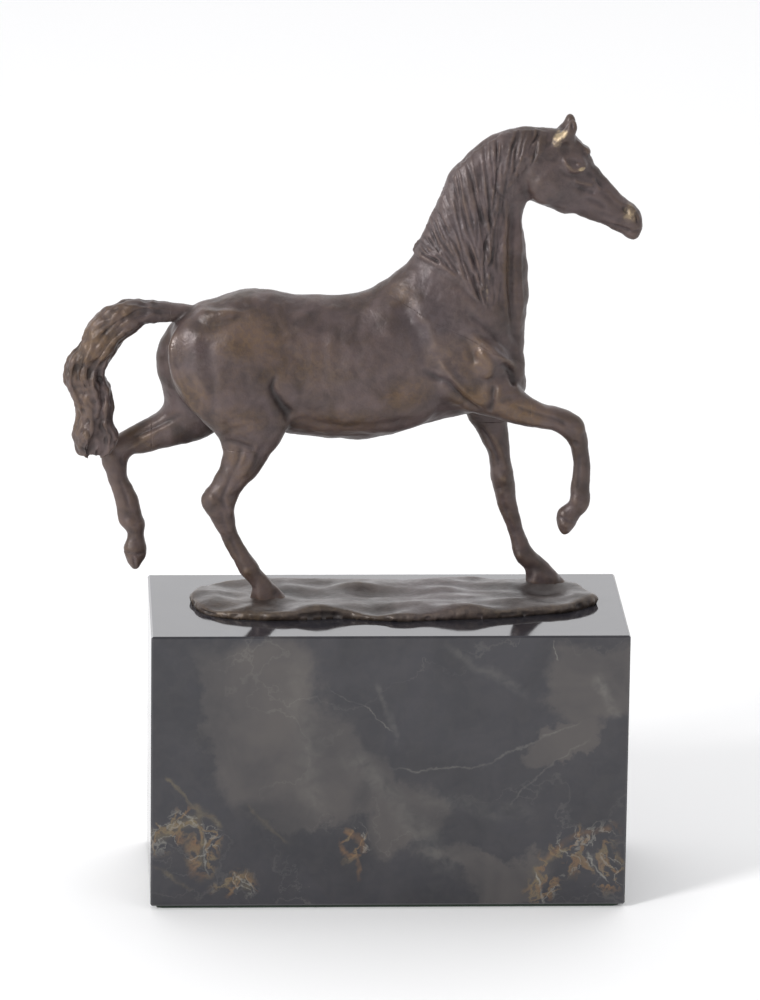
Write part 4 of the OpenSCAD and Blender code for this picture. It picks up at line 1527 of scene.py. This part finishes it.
@dataclass(frozen=True)
class Marble(Finish):
    """Polished dark grey marble with cloudy brown patches, white veins and rusty pockets."""

    dark: Colour = (0.016, 0.016, 0.021, 1)
    mid: Colour = (0.029, 0.028, 0.035, 1)
    brown: Colour = (0.069, 0.061, 0.058, 1)
    pale: Colour = (0.26, 0.25, 0.22, 1)
    rust: Colour = (0.200, 0.105, 0.042, 1)
    ochre: Colour = (0.165, 0.130, 0.068, 1)
    browns: tuple[Patch, ...] = tuple(Patch(*row) for row in (
        ((-58, 22), (42, 34), -20), ((92, 44), (27, 18), 10), ((-30, -8), (40, 20), -20),
        ((8, -22), (28, 13), 32), ((76, 12), (22, 9), 45), ((40, -48), (30, 10), 0),
    ))
    darks: tuple[Patch, ...] = tuple(Patch(*row) for row in (
        ((22, 34), (50, 28), 0), ((48, -12), (42, 22), 0), ((-90, 20), (14, 36), 0),
        ((-52, -38), (40, 15), 0), ((14, -52), (24, 8), 0), ((92, -8), (16, 18), 0),
    ))
    # Pockets of lacy rust and chalk
    pockets: tuple[Patch, ...] = tuple(Patch(*row) for row in (
        ((80, -38), (27, 11), 28), ((92, -46), (13, 15), 0), ((66, -52), (10, 10), 0),
        ((-92, -26), (16, 9), 30), ((-80, -34), (9, 17), 0), ((-66, -52), (13, 8), 0),
        ((-16, -34), (8, 9), 0),
    ))
    whites: tuple[Vein, ...] = tuple(Vein(*row) for row in (
        ((2, -2), (42, 4), 0.7, 0.22), ((40, 3), (80, 22), 0.8, 0.25),
        ((50, -16), (84, 14), 0.7, 0.2), ((62, -46), (67, -60), 0.8, 0.7),
        ((86, -40), (93, -53), 0.7, 0.6), ((-82, -24), (-78, -46), 0.5, 0.5),
        ((-20, 8), (26, -46), 9.0, 0.13), ((70, 58), (71, 50), 0.4, 0.5),
        ((-26, 38), (2, 16), 0.5, 0.25), ((88, 44), (97, 24), 3.6, 0.22),
        ((-6, 40), (4, 10), 2.4, 0.12), ((24, 56), (60, 34), 3.0, 0.1),
        ((-40, 50), (-30, -20), 10.0, 0.1), ((10, -12), (60, -20), 6.0, 0.08),
    ))
    rusts: tuple[Vein, ...] = tuple(Vein(*row) for row in (
        ((66, -42), (84, -30), 2.4, 0.45), ((82, -31), (97, -27), 2.6, 0.45),
        ((-20, -28), (-12, -33), 1.6, 0.6), ((-22, -34), (-19, -38), 1.8, 0.6),
        ((-13, -31), (-12, -38), 1.6, 0.6), ((-19, -38), (-13, -39), 1.5, 0.6),
        ((-15, -39), (-13, -50), 1.7, 0.4),
    ))
    ochres: tuple[Vein, ...] = tuple(Vein(*row) for row in (
        ((-95, -4), (-86, -17), 1.2, 0.45), ((-101, -30), (-80, -19), 4.0, 0.4),
        ((-86, -16), (-74, -24), 2.4, 0.35), ((-84, -18), (-80, -42), 1.4, 0.4),
        ((-70, -50), (-58, -52), 5.0, 0.35), ((60, -46), (72, -40), 2.4, 0.4),
        ((-60, -14), (-44, -30), 1.4, 0.2), ((-100, -40), (-84, -52), 1.4, 0.3),
    ))

    # How far its bedding runs left and down for each step in from the front face
    bedding: Point = (0.6, 0.45)
    # The swirl that bends it: scale, detail, roughness, and its reach on clouds and on veins
    swirl: Triple = (22, 7, 0.62)
    swirl_reach: Point = (0.058, 0.022)
    # The scales of the rusty lace and of the chalk threads, and their half widths
    lace: Point = (95, 62)
    lace_width: Point = (0.055, 0.018)
    roughness: Point = (0.06, 0.1)
    ior: float = 1.55

    def build(self, groups: Groups) -> bpy.types.Material:
        """Builds the material from the shared groups."""
        material, s, shader = self.start()
        where = self.bedded(s)
        far, near = self.swirled(s, where)
        cloud, speck = (
            s.place_of(groups["cloud"], {"Where": where, "Scale": scale, "Edge": 0.25})
            for scale in (34.0, 190.0)
        )
        # the dark ground, its brown clouds and its specks
        light = self.strongest(s, [patch.field(s, far) for patch in self.browns])
        shade = self.strongest(s, [patch.field(s, far) for patch in self.darks])
        excess = s.less(s.math("MAXIMUM", light, -0.3), s.math("MAXIMUM", shade, -0.2))
        brown = s.times(s.ramp(excess, -0.02, 0.36), s.scaled(cloud, 0.75, 0.3), clamp=True)
        colour = s.mix(cloud, self.dark, self.mid)
        colour = s.mix(brown, colour, self.brown)
        colour = s.mix(s.times(speck, 0.16), colour, self.brown)
        # the pockets' rusty lace, the veins, and the pockets' chalk threads over both
        pocket = self.strongest(s, [patch.field(s, near) for patch in self.pockets])
        pocket = s.ramp(pocket, 0.0, 0.45)
        lines, threads = (
            self.line(s, s.noise(near, scale, 5, 0.4), width)
            for scale, width in zip(self.lace, self.lace_width)
        )
        tint = s.mix(speck, self.rust, self.ochre)
        colour = s.mix(s.times(s.times(pocket, lines), 0.6), colour, tint)
        broken = s.scaled(speck, 0.9, 0.2)
        for veins, tint in (
            (self.ochres, self.ochre), (self.rusts, self.rust), (self.whites, self.pale)
        ):
            mask = self.strongest(s, [vein.mask(s, near, groups["vein"]) for vein in veins])
            colour = s.mix(s.times(mask, broken, clamp=True), colour, tint)
        colour = s.mix(s.times(s.times(pocket, threads), 0.42), colour, self.pale)
        # hair cracks
        hair = self.line(s, s.noise(far, 14, 3), 0.006)
        colour = s.mix(s.times(hair, s.times(cloud, 0.12)), colour, self.pale)
        s.feed(shader, {
            "Base Color": colour,
            "Roughness": s.between(cloud, *self.roughness),
            "IOR": self.ior,
        })
        return material

    def bedded(self, s: Sockets) -> object:
        """Gives the place in the block from its middle, with its depth along the bedding."""
        low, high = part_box("marble_block")
        values = {"Vector": s.object_place(), "Location": -(low + high) / 2}
        x, y, z = s.add("SeparateXYZ", {0: s.add("Mapping", values).outputs[0]}).outputs
        depth = s.plus(y, (high - low).y / 2)
        left, down = self.bedding
        values = {0: s.scaled(depth, left, x), 1: y, 2: s.scaled(depth, down, z)}
        return s.add("CombineXYZ", values).outputs[0]

    def swirled(self, s: Sockets, where: object) -> list[object]:
        """Gives a place moved by the swirl, as far as clouds are and as far as veins are."""
        scale, detail, roughness = self.swirl
        values = {"Vector": where, "Scale": scale, "Detail": detail, "Roughness": roughness}
        bend = s.vector("SUBTRACT", s.add("TexNoise", values).outputs["Color"], (0.5, 0.5, 0.5))
        return [
            s.vector(
                "ADD", s.add("VectorMath", {0: bend, 3: reach}, operation="SCALE").outputs[0], where
            )
            for reach in self.swirl_reach
        ]

    @staticmethod
    def line(s: Sockets, pattern: object, width: float) -> object:
        """Gives the lines along which a noise pattern is at its middle."""
        off = s.math("ABSOLUTE", s.less(pattern, 0.5))
        return s.less(1.0, s.ramp(off, 0.0, width))

    @staticmethod
    def strongest(s: Sockets, fields: Sequence[object]) -> object:
        """Gives the largest of some values."""
        most = fields[0]
        for value in fields[1:]:
            most = s.math("MAXIMUM", most, value)
        return most


@dataclass(frozen=True)
class Steel(Finish):
    """Zinc plated steel."""

    tint: Colour = (0.56, 0.57, 0.59, 1)

    dull: Colour = (0.36, 0.36, 0.38, 1)
    scale: float = 400.0
    roughness: Point = (0.28, 0.42)

    def build(self, groups: Groups) -> bpy.types.Material:
        """Builds the material from the shared groups."""
        material, s, shader = self.start()
        cloud = s.place_of(groups["cloud"], {"Where": s.object_place(), "Scale": self.scale})
        s.feed(shader, {
            "Base Color": s.mix(s.times(cloud, 0.3), self.tint, self.dull),
            "Roughness": s.between(cloud, *self.roughness),
            "Metallic": 1.0,
        })
        return material


@dataclass(frozen=True)
class Felt(Finish):
    """Dark green pressed felt."""

    tint: Colour = (0.014, 0.030, 0.018, 1)

    fibre: Colour = (0.040, 0.062, 0.045, 1)
    scale: float = 1500.0
    relief: Point = (0.5, 0.0004)
    roughness: float = 0.95
    sheen: float = 0.4

    def build(self, groups: Groups) -> bpy.types.Material:
        """Builds the material from the shared groups."""
        material, s, shader = self.start()
        grain = s.place_of(groups["grain"], {"Where": s.object_place(), "Scale": self.scale})
        strength, depth = self.relief
        bump = s.add("Bump", {"Height": grain, "Strength": strength, "Distance": depth})
        s.feed(shader, {
            "Base Color": s.mix(grain, self.tint, self.fibre),
            "Normal": bump.outputs[0],
            "Roughness": self.roughness,
            "Sheen Weight": self.sheen,
        })
        return material


class Workshop:
    """Makes each finish once."""

    def __init__(self) -> None:
        """Builds the shared node groups and the materials."""
        groups = {"cloud": cloud_group(), "grain": grain_group(), "vein": vein_group()}
        self.bronze = Bronze("bronze_patina").build(groups)
        self.ground = Bronze(
            "bronze_ground", dark=(0.036, 0.030, 0.029, 1), plum=(0.066, 0.053, 0.051, 1),
            roughness=0.36, warmth=0.3, glint=0.3,
        ).build(groups)
        self.marble = Marble("polished_marble").build(groups)
        self.steel = Steel("zinc_plated_steel").build(groups)
        self.felt = Felt("green_felt").build(groups)


# ---- pieces


@dataclass(frozen=True)
class Placement:
    """Where the drawing of the horse stands in the frame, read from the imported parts."""

    ground: float
    centre_y: float
    grow: float

    @staticmethod
    def from_frame() -> "Placement":
        """Reads the ground, the centre plane and the size of the horse."""
        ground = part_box("ground_plate")[1].z
        low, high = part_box("neck_and_head")
        grow = (high.z - ground) / (DRAWN_HEIGHT * MM)
        return Placement(ground, (low.y + high.y) / 2, grow)

    def matrix(self) -> Matrix:
        """Gives the step from the drawing's millimetres to the frame's metres."""
        move = Matrix.Translation((0, self.centre_y, self.ground))
        return move @ Matrix.Scale(MM * self.grow, 4)


def finish_piece(
    mesh: bpy.types.Mesh, name: str, material: bpy.types.Material, node: str
) -> bpy.types.Object:
    """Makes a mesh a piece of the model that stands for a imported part.

    Args:
        mesh: the mesh, in place and in metres.
        name: the piece's name.
        material: its finish.
        node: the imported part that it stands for.

    Returns:
        The piece.
    """
    mesh.name = name
    mesh.materials.clear()
    mesh.materials.append(material)
    mesh.polygons.foreach_set("use_smooth", np.ones(len(mesh.polygons), bool))
    piece = bpy.data.objects.new(name, mesh)
    bpy.context.scene.collection.objects.link(piece)
    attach(piece, "root")
    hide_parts(node)
    LOG.info("%s: %d faces", name, len(mesh.polygons))
    return piece


NECK_SEAM = Seam((27.5, 119.5), 27.6)
TAIL_SEAM = Seam((-93, 124.4), -90)


@dataclass(frozen=True)
class Limb:
    """A casting that is joined to the torso."""

    node: str
    seam: Seam
    # A box that holds all of it and reaches a little past its seam, and no more of the torso
    low: Triple
    high: Triple
    # A place inside it
    inside: Triple


LIMBS = (
    Limb("neck_and_head", NECK_SEAM, (-20, -40, 85), (140, 40, 230), (60, 0, 160)),
    Limb("tail", TAIL_SEAM, (-150, -9, 118.4), (-91, 9, 140), (-128, 0, 90)),
    Limb("right_foreleg", Seam((60, 83.5), 90), (58, -40, 20), (120, -3, 100), (79, -12, 60)),
    Limb("left_foreleg", Seam((43, 74), 180), (28, 2, -9), (100, 40, 76), (51, 12, 30)),
    Limb("right_hindleg", Seam((-59, 67.5), 180), (-95, -40, -9), (-38, -1, 69.4), (-66, -11, 20)),
    Limb("left_hindleg", Seam((-100.5, 68), -90), (-150, 1, -9), (-99.4, 40, 90), (-110, 12, 30)),
)


@dataclass
class Foundry:
    """Cuts the modelled horse into its castings and places them in the frame."""

    placement: Placement
    bronze: bpy.types.Material
    # A place inside the torso
    inside: Triple = (-30, -18, 100)

    @staticmethod
    def within(bm: bmesh.types.BMesh, low: Vector, high: Vector) -> list:
        """Gives the vertices, edges and faces that lie wholly in a box."""
        verts = [
            v for v in bm.verts
            if all(low[axis] < v.co[axis] < high[axis] for axis in range(3))
        ]
        chosen = set(verts)
        edges = [e for e in bm.edges if chosen.issuperset(e.verts)]
        faces = [f for f in bm.faces if chosen.issuperset(f.verts)]
        return verts + edges + faces

    @staticmethod
    def cut(bm: bmesh.types.BMesh, geom: list, at: Vector, outward: Vector) -> None:
        """Cuts away the outward side of a plane and closes the cut."""
        tolerance = 1e-5
        made = bmesh.ops.bisect_plane(
            bm, geom=geom, dist=tolerance, plane_co=at, plane_no=outward, clear_outer=True
        )["geom_cut"]
        edges = [e for e in made if isinstance(e, bmesh.types.BMEdge)]
        rim = [e for e in edges if e.is_valid and e.is_boundary]
        if rim:
            bmesh.ops.holes_fill(bm, edges=rim, sides=0)

    @staticmethod
    def keep_island(bm: bmesh.types.BMesh, at: Vector) -> None:
        """Removes everything that isn't joined to the point of the mesh nearest to a place."""
        first = min(bm.verts, key=lambda v: (v.co - at).length_squared)
        found, front = {first}, [first]
        while front:
            beside = {e.other_vert(v) for v in front for e in v.link_edges} - found
            found |= beside
            front = list(beside)
        bmesh.ops.delete(bm, geom=[v for v in bm.verts if v not in found], context="VERTS")

    def torso(self, skin: bpy.types.Mesh, limbs: Sequence[Limb]) -> bpy.types.Mesh:
        """Cuts all the limbs from the skin.

        Args:
            skin: the worked skin of the whole horse.
            limbs: the castings that leave the torso.

        Returns:
            The torso's mesh.
        """
        bm = bmesh.new()
        bm.from_mesh(skin)
        for limb in limbs:
            geom = self.within(bm, Vector(limb.low), Vector(limb.high))
            self.cut(bm, geom, limb.seam.place(), limb.seam.outward())
        self.keep_island(bm, Vector(self.inside))
        return take_mesh(bm, "torso_cut")

    def limb(self, skin: bpy.types.Mesh, limb: Limb, margin: float = 0.0) -> bpy.types.Mesh:
        """Cuts one limb from the skin.

        Args:
            skin: the skin that holds the limb.
            limb: which limb.
            margin: how much is kept on the torso's side of its seam.

        Returns:
            The limb's mesh.
        """
        bm = bmesh.new()
        bm.from_mesh(skin)
        self.cut(bm, everything(bm), limb.seam.place(-margin), -limb.seam.outward())
        self.keep_island(bm, Vector(limb.inside))
        return take_mesh(bm, "limb_cut")

    def place(self, mesh: bpy.types.Mesh, name: str, node: str) -> bpy.types.Object:
        """Puts a finished casting in the frame."""
        mesh.transform(self.placement.matrix())
        return finish_piece(mesh, name, self.bronze, node)


@dataclass
class GroundPlate:
    """The rough plate that the horse stands on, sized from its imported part."""

    # Shares of its length and depth
    outline: tuple[Point, ...] = (
        (0, 0.55), (0.01, 0.36), (0.035, 0.2), (0.08, 0.1), (0.14, 0.05), (0.22, 0.03),
        (0.3, 0.055), (0.38, 0.08), (0.44, 0.03), (0.52, 0), (0.6, 0.03), (0.68, 0.055),
        (0.76, 0.08), (0.84, 0.15), (0.92, 0.22), (0.97, 0.34), (1, 0.46), (0.985, 0.6),
        (0.97, 0.72), (0.955, 0.86), (0.9, 0.94), (0.8, 0.97), (0.7, 1), (0.6, 0.96),
        (0.45, 0.98), (0.3, 0.96), (0.18, 0.98), (0.08, 0.92), (0.03, 0.8),
    )
    # Swells and hollows: shares along and across, reach along and across in mm, height in mm
    swells: tuple[tuple[float, ...], ...] = (
        (0.31, 0.12, 10, 5, 2.6), (0.37, 0.32, 12, 6, 1.4), (0.46, 0.12, 8, 6, -1.7),
        (0.56, 0.22, 8, 5, 1.2), (0.68, 0.14, 13, 4, 2.2), (0.8, 0.3, 9, 6, 1.3),
        (0.95, 0.4, 6, 9, 1.4), (0.06, 0.45, 7, 9, 1.3), (0.15, 0.2, 8, 5, 0.9),
        (0.48, 0.55, 16, 5, -1.2), (0.25, 0.75, 12, 6, 1.0), (0.62, 0.66, 10, 4, 1.3),
        (0.74, 0.5, 8, 6, -1.0), (0.88, 0.62, 8, 6, -1.2), (0.12, 0.7, 8, 6, -1.0),
        (0.4, 0.72, 9, 4, 1.2),
    )
    steepness: float = 1.4
    # Where the hooves stand, and the earth heaped round them: step ahead, reach along and
    # across, and height
    hooves: tuple[Point, ...] = ((-51.5, -11), (68, 12))
    heap: tuple[float, ...] = (1.5, 8, 6.5, 3.4)
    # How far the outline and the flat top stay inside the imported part, in mm
    inset: float = 0.6
    top_inset: float = 0.3
    voxel: float = 0.7

    def build(self, placement: Placement, bronze: bpy.types.Material) -> bpy.types.Object:
        """Builds the plate.

        Args:
            placement: where the horse stands, for the earth heaped round its hooves.
            bronze: the finish.

        Returns:
            The piece.
        """
        low, high = (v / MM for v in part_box("ground_plate"))
        size = high - low
        inset = self.inset
        rim = np.array([*self.outline, self.outline[0]], float)
        rim = rim * (size.x - 2 * inset, size.y - 2 * inset) + (low.x + inset, low.y + inset)
        rim = smooth_curve(rim, 5)[:-1]
        bm = bmesh.new()
        ring = bmesh.ops.create_circle(bm, cap_ends=True, radius=1.0, segments=len(rim))["verts"]
        for v, (x, y) in zip(ring, rim):
            v.co = (x, y, low.z)
        top = bmesh.ops.extrude_face_region(bm, geom=list(bm.faces))["geom"]
        lifted = [v for v in top if isinstance(v, bmesh.types.BMVert)]
        bmesh.ops.translate(bm, verts=lifted, vec=(0, 0, size.z - self.top_inset))
        mesh = reskin(mesh_from(bm, "plate_form"), self.voxel)
        clay = Clay(mesh)
        clay.relax(5, 0.5)
        self.terrain(clay, placement, low, size)
        clay.finish()
        mesh.transform(Matrix.Scale(MM, 4))
        return finish_piece(mesh, "ground_plate_cast", bronze, "ground_plate")

    def terrain(self, clay: Clay, placement: Placement, low: Vector, size: Vector) -> None:
        """Heaps and hollows the plate's top and breaks up its rim."""
        x, y, z = clay.co.T
        lift = np.clip((z - low.z) / size.z, 0, 1)
        rise = np.zeros(clay.count)
        for sx, sy, rx, ry, height in self.swells:
            dx, dy = x - (low.x + sx * size.x), y - (low.y + sy * size.y)
            swell = np.exp(-((dx / rx) ** 2) - (dy / ry) ** 2)
            rise += self.steepness * height * swell
        ahead, along, across, height = self.heap
        for hoof in self.hooves:
            spot = placement.matrix() @ Vector((*hoof, 0)) / MM
            dx, dy = x - spot.x - ahead, y - spot.y
            rise += height * np.exp(-((dx / along) ** 2) - (dy / across) ** 2)
        places = [Vector(p) for p in clay.co]
        rough = np.array([
            1.7 * noise.noise(Vector((p[0] / 17, p[1] / 8, p[2] / 11))) for p in clay.co
        ])
        shift = Vector((9, 1, 4))
        crumb = np.array([
            0.9 * noise.noise(p / 4 + shift) + 0.5 * noise.noise(p / 1.9) for p in places
        ])
        normals = clay.normals()
        side = np.clip(1 - np.abs(normals[:, 2]) * 1.4, 0, 1)
        clay.co[:, 2] += (rise + rough + (0.16 + 0.5 * side) * crumb) * lift
        clay.co[:, :2] += normals[:, :2] * ((rough + crumb) * side)[:, None]
        flat = (normals[:, 2] < -0.3) | (clay.co[:, 2] < low.z + 0.15)
        clay.co[flat, 2] = low.z
        clay.commit()


@dataclass
class Base:
    """The marble block with its felt and its fixings."""

    workshop: Workshop
    # The felt's corner radius, the softness of its edges, and its cells along and across
    corner: float = 0.003
    edge: float = 0.00035
    cells: tuple[int, int] = (64, 28)

    def dress_packed_parts(self) -> None:
        """Gives the block and the fixings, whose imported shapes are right, their finishes."""
        parts = {"marble_block": self.workshop.marble}
        for place in ("front", "rear"):
            for part in ("stud", "washer", "nut"):
                parts[f"{place}_{part}"] = self.workshop.steel
        for name, material in parts.items():
            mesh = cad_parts[name].data
            mesh.materials.clear()
            mesh.materials.append(material)
            LOG.info("%s: finish %s", name, material.name)

    def felt(self) -> bpy.types.Object:
        """Builds the felt sheet under the block, with softly worn edges.

        Returns:
            The piece.
        """
        low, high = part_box("felt_sheet")
        size = high - low
        bm = bmesh.new()
        along, across = self.cells
        bmesh.ops.create_grid(bm, x_segments=along, y_segments=across, size=0.5)
        flat = Matrix.Diagonal((size.x, size.y, 1, 1))
        bmesh.ops.transform(bm, matrix=flat, verts=bm.verts)
        corner = self.corner
        for v in bm.verts:
            ex, ey = size.x / 2 - corner, size.y / 2 - corner
            dx, dy = abs(v.co.x) - ex, abs(v.co.y) - ey
            if dx > 0 and dy > 0:
                pull = corner / max(math.hypot(dx, dy), corner)
                v.co.x = math.copysign(ex + dx * pull, v.co.x)
                v.co.y = math.copysign(ey + dy * pull, v.co.y)
        middle = ((low.x + high.x) / 2, (low.y + high.y) / 2, low.z)
        bmesh.ops.translate(bm, verts=bm.verts, vec=middle)
        top = bmesh.ops.extrude_face_region(bm, geom=list(bm.faces))["geom"]
        lifted = [v for v in top if isinstance(v, bmesh.types.BMVert)]
        bmesh.ops.translate(bm, verts=lifted, vec=(0, 0, size.z))
        sharp = 1.0
        rims = [e for e in bm.edges if len(e.link_faces) == 2 and e.calc_face_angle(0) > sharp]
        bmesh.ops.bevel(
            bm, geom=rims, offset=self.edge, offset_type="OFFSET", segments=2, profile=0.5,
            affect="EDGES", material=-1,
        )
        mesh = mesh_from(bm, "felt_form")
        piece = finish_piece(mesh, "felt_pad", self.workshop.felt, "felt_sheet")
        return piece


# ---- studio


@dataclass(frozen=True)
class SoftBox:
    """A round soft light, in metres and watts."""

    name: str
    at: Triple
    size: float
    power: float

    def hang(self, target: Triple) -> None:
        """Hangs it, aimed at a target."""
        data = bpy.data.lights.new(self.name, "AREA")
        data.shape, data.size, data.energy = "DISK", self.size, self.power
        lamp = bpy.data.objects.new(self.name, data)
        at = Vector(self.at)
        turn = (at - Vector(target)).to_track_quat("Z", "Y").to_matrix().to_4x4()
        lamp.matrix_world = Matrix.Translation(at) @ turn
        bpy.context.scene.collection.objects.link(lamp)


@dataclass
class Studio:
    """The pale floor, the soft light and the camera."""

    azimuth: float = -2.96
    elevation: float = 16.52
    distance: float = 3.05
    lens: float = 257.3
    roll: float = 0.73
    target: Triple = (-0.0033, 0.0, 0.1689)
    clip: Point = (0.1, 50)
    lights: tuple[SoftBox, ...] = (
        SoftBox("key", (-1.9, -1.45, 1.3), 0.6, 47),
        SoftBox("fill", (1.6, -1.6, 1.2), 1.2, 4),
        SoftBox("top", (0.2, 1.3, 2.6), 2.4, 18),
    )
    light_target: Triple = (0, 0, 0.2)
    floor_reach: float = 12
    floor_colour: Colour = (0.9, 0.9, 0.9, 1)
    floor_glow: float = 0.06
    # The room's light: its colour, its level all round, and what is added behind and above
    room_colour: Colour = (0.985, 0.985, 1.0, 1)
    room_level: float = 0.34
    behind: float = 1.5
    above: float = 0.3

    def camera(self) -> None:
        """Sets up the camera."""
        a, e, r = (math.radians(v) for v in (self.azimuth, self.elevation, self.roll))
        back = Vector((math.sin(a) * math.cos(e), -math.cos(a) * math.cos(e), math.sin(e)))
        right = (-back).cross(Vector((0, 0, 1))).normalized()
        up = right.cross(-back)
        right, up = right * math.cos(r) + up * math.sin(r), up * math.cos(r) - right * math.sin(r)
        turn = Matrix((right, up, back)).transposed().to_4x4()
        camera = bpy.data.objects.new("camera", bpy.data.cameras.new("camera"))
        camera.data.lens = self.lens
        camera.data.clip_start, camera.data.clip_end = self.clip
        camera.matrix_world = Matrix.Translation(Vector(self.target) + back * self.distance) @ turn
        bpy.context.scene.collection.objects.link(camera)
        bpy.context.scene.camera = camera

    def floor(self) -> None:
        """Lays the floor."""
        bm = bmesh.new()
        bmesh.ops.create_grid(bm, x_segments=1, y_segments=1, size=self.floor_reach)
        mesh = take_mesh(bm, "floor")
        floor = bpy.data.objects.new("floor", mesh)
        bpy.context.scene.collection.objects.link(floor)
        material, s, shader = Finish("white_floor").start()
        s.feed(shader, {
            "Base Color": self.floor_colour,
            "Roughness": 0.9,
            "Specular IOR Level": 0.1,
            "Emission Color": (1, 1, 1, 1),
            "Emission Strength": self.floor_glow,
        })
        mesh.materials.append(material)

    def surround(self) -> None:
        """Makes the white room, brighter behind and above, so that polished tops shine."""
        world = bpy.data.worlds.new("white_room")
        world.use_nodes = True
        s = Sockets(world.node_tree)
        back = world.node_tree.nodes["Background"]
        split = s.add("SeparateXYZ", {0: s.add("TexCoord").outputs["Generated"]})
        behind = s.ramp(split.outputs[1], -0.4, 0.9)
        high = s.ramp(split.outputs[2], 0.3, 0.75)
        band = s.times(behind, s.less(1.0, high))
        level = s.scaled(band, self.behind, self.room_level)
        level = s.plus(level, s.times(high, self.above))
        s.feed(back, {"Strength": level, "Color": self.room_colour})
        bpy.context.scene.world = world

    def build(self) -> None:
        """Sets up the whole studio."""
        self.floor()
        self.surround()
        for light in self.lights:
            light.hang(self.light_target)
        self.camera()
        bpy.context.scene.view_settings.view_transform = "Standard"


def main() -> None:
    """Builds the horse, its base and the studio."""
    logging.basicConfig(level=logging.INFO, format="%(name)s: %(message)s")
    workshop = Workshop()
    placement = Placement.from_frame()
    sculptor = HorseSculptor()
    foundry = Foundry(placement, workshop.bronze)

    tail_forms = sculptor.tail_form()
    body = sculptor.body(tail_forms)
    limbs = {limb.node: limb for limb in LIMBS}
    foundry.place(foundry.torso(body, LIMBS), "torso_cast", "torso")
    for node in ("right_foreleg", "left_foreleg", "right_hindleg", "left_hindleg"):
        foundry.place(foundry.limb(body, limbs[node]), node + "_cast", node)
    head = sculptor.head(foundry.limb(body, limbs["neck_and_head"], SEAM_MARGIN))
    foundry.place(foundry.limb(head, limbs["neck_and_head"]), "neck_and_head_cast", "neck_and_head")
    tail = sculptor.tail(tail_forms)
    foundry.place(foundry.limb(tail, limbs["tail"]), "tail_cast", "tail")

    GroundPlate().build(placement, workshop.ground)
    base = Base(workshop)
    base.dress_packed_parts()
    base.felt()
    Studio().build()


if __name__ == "__main__":
    main()
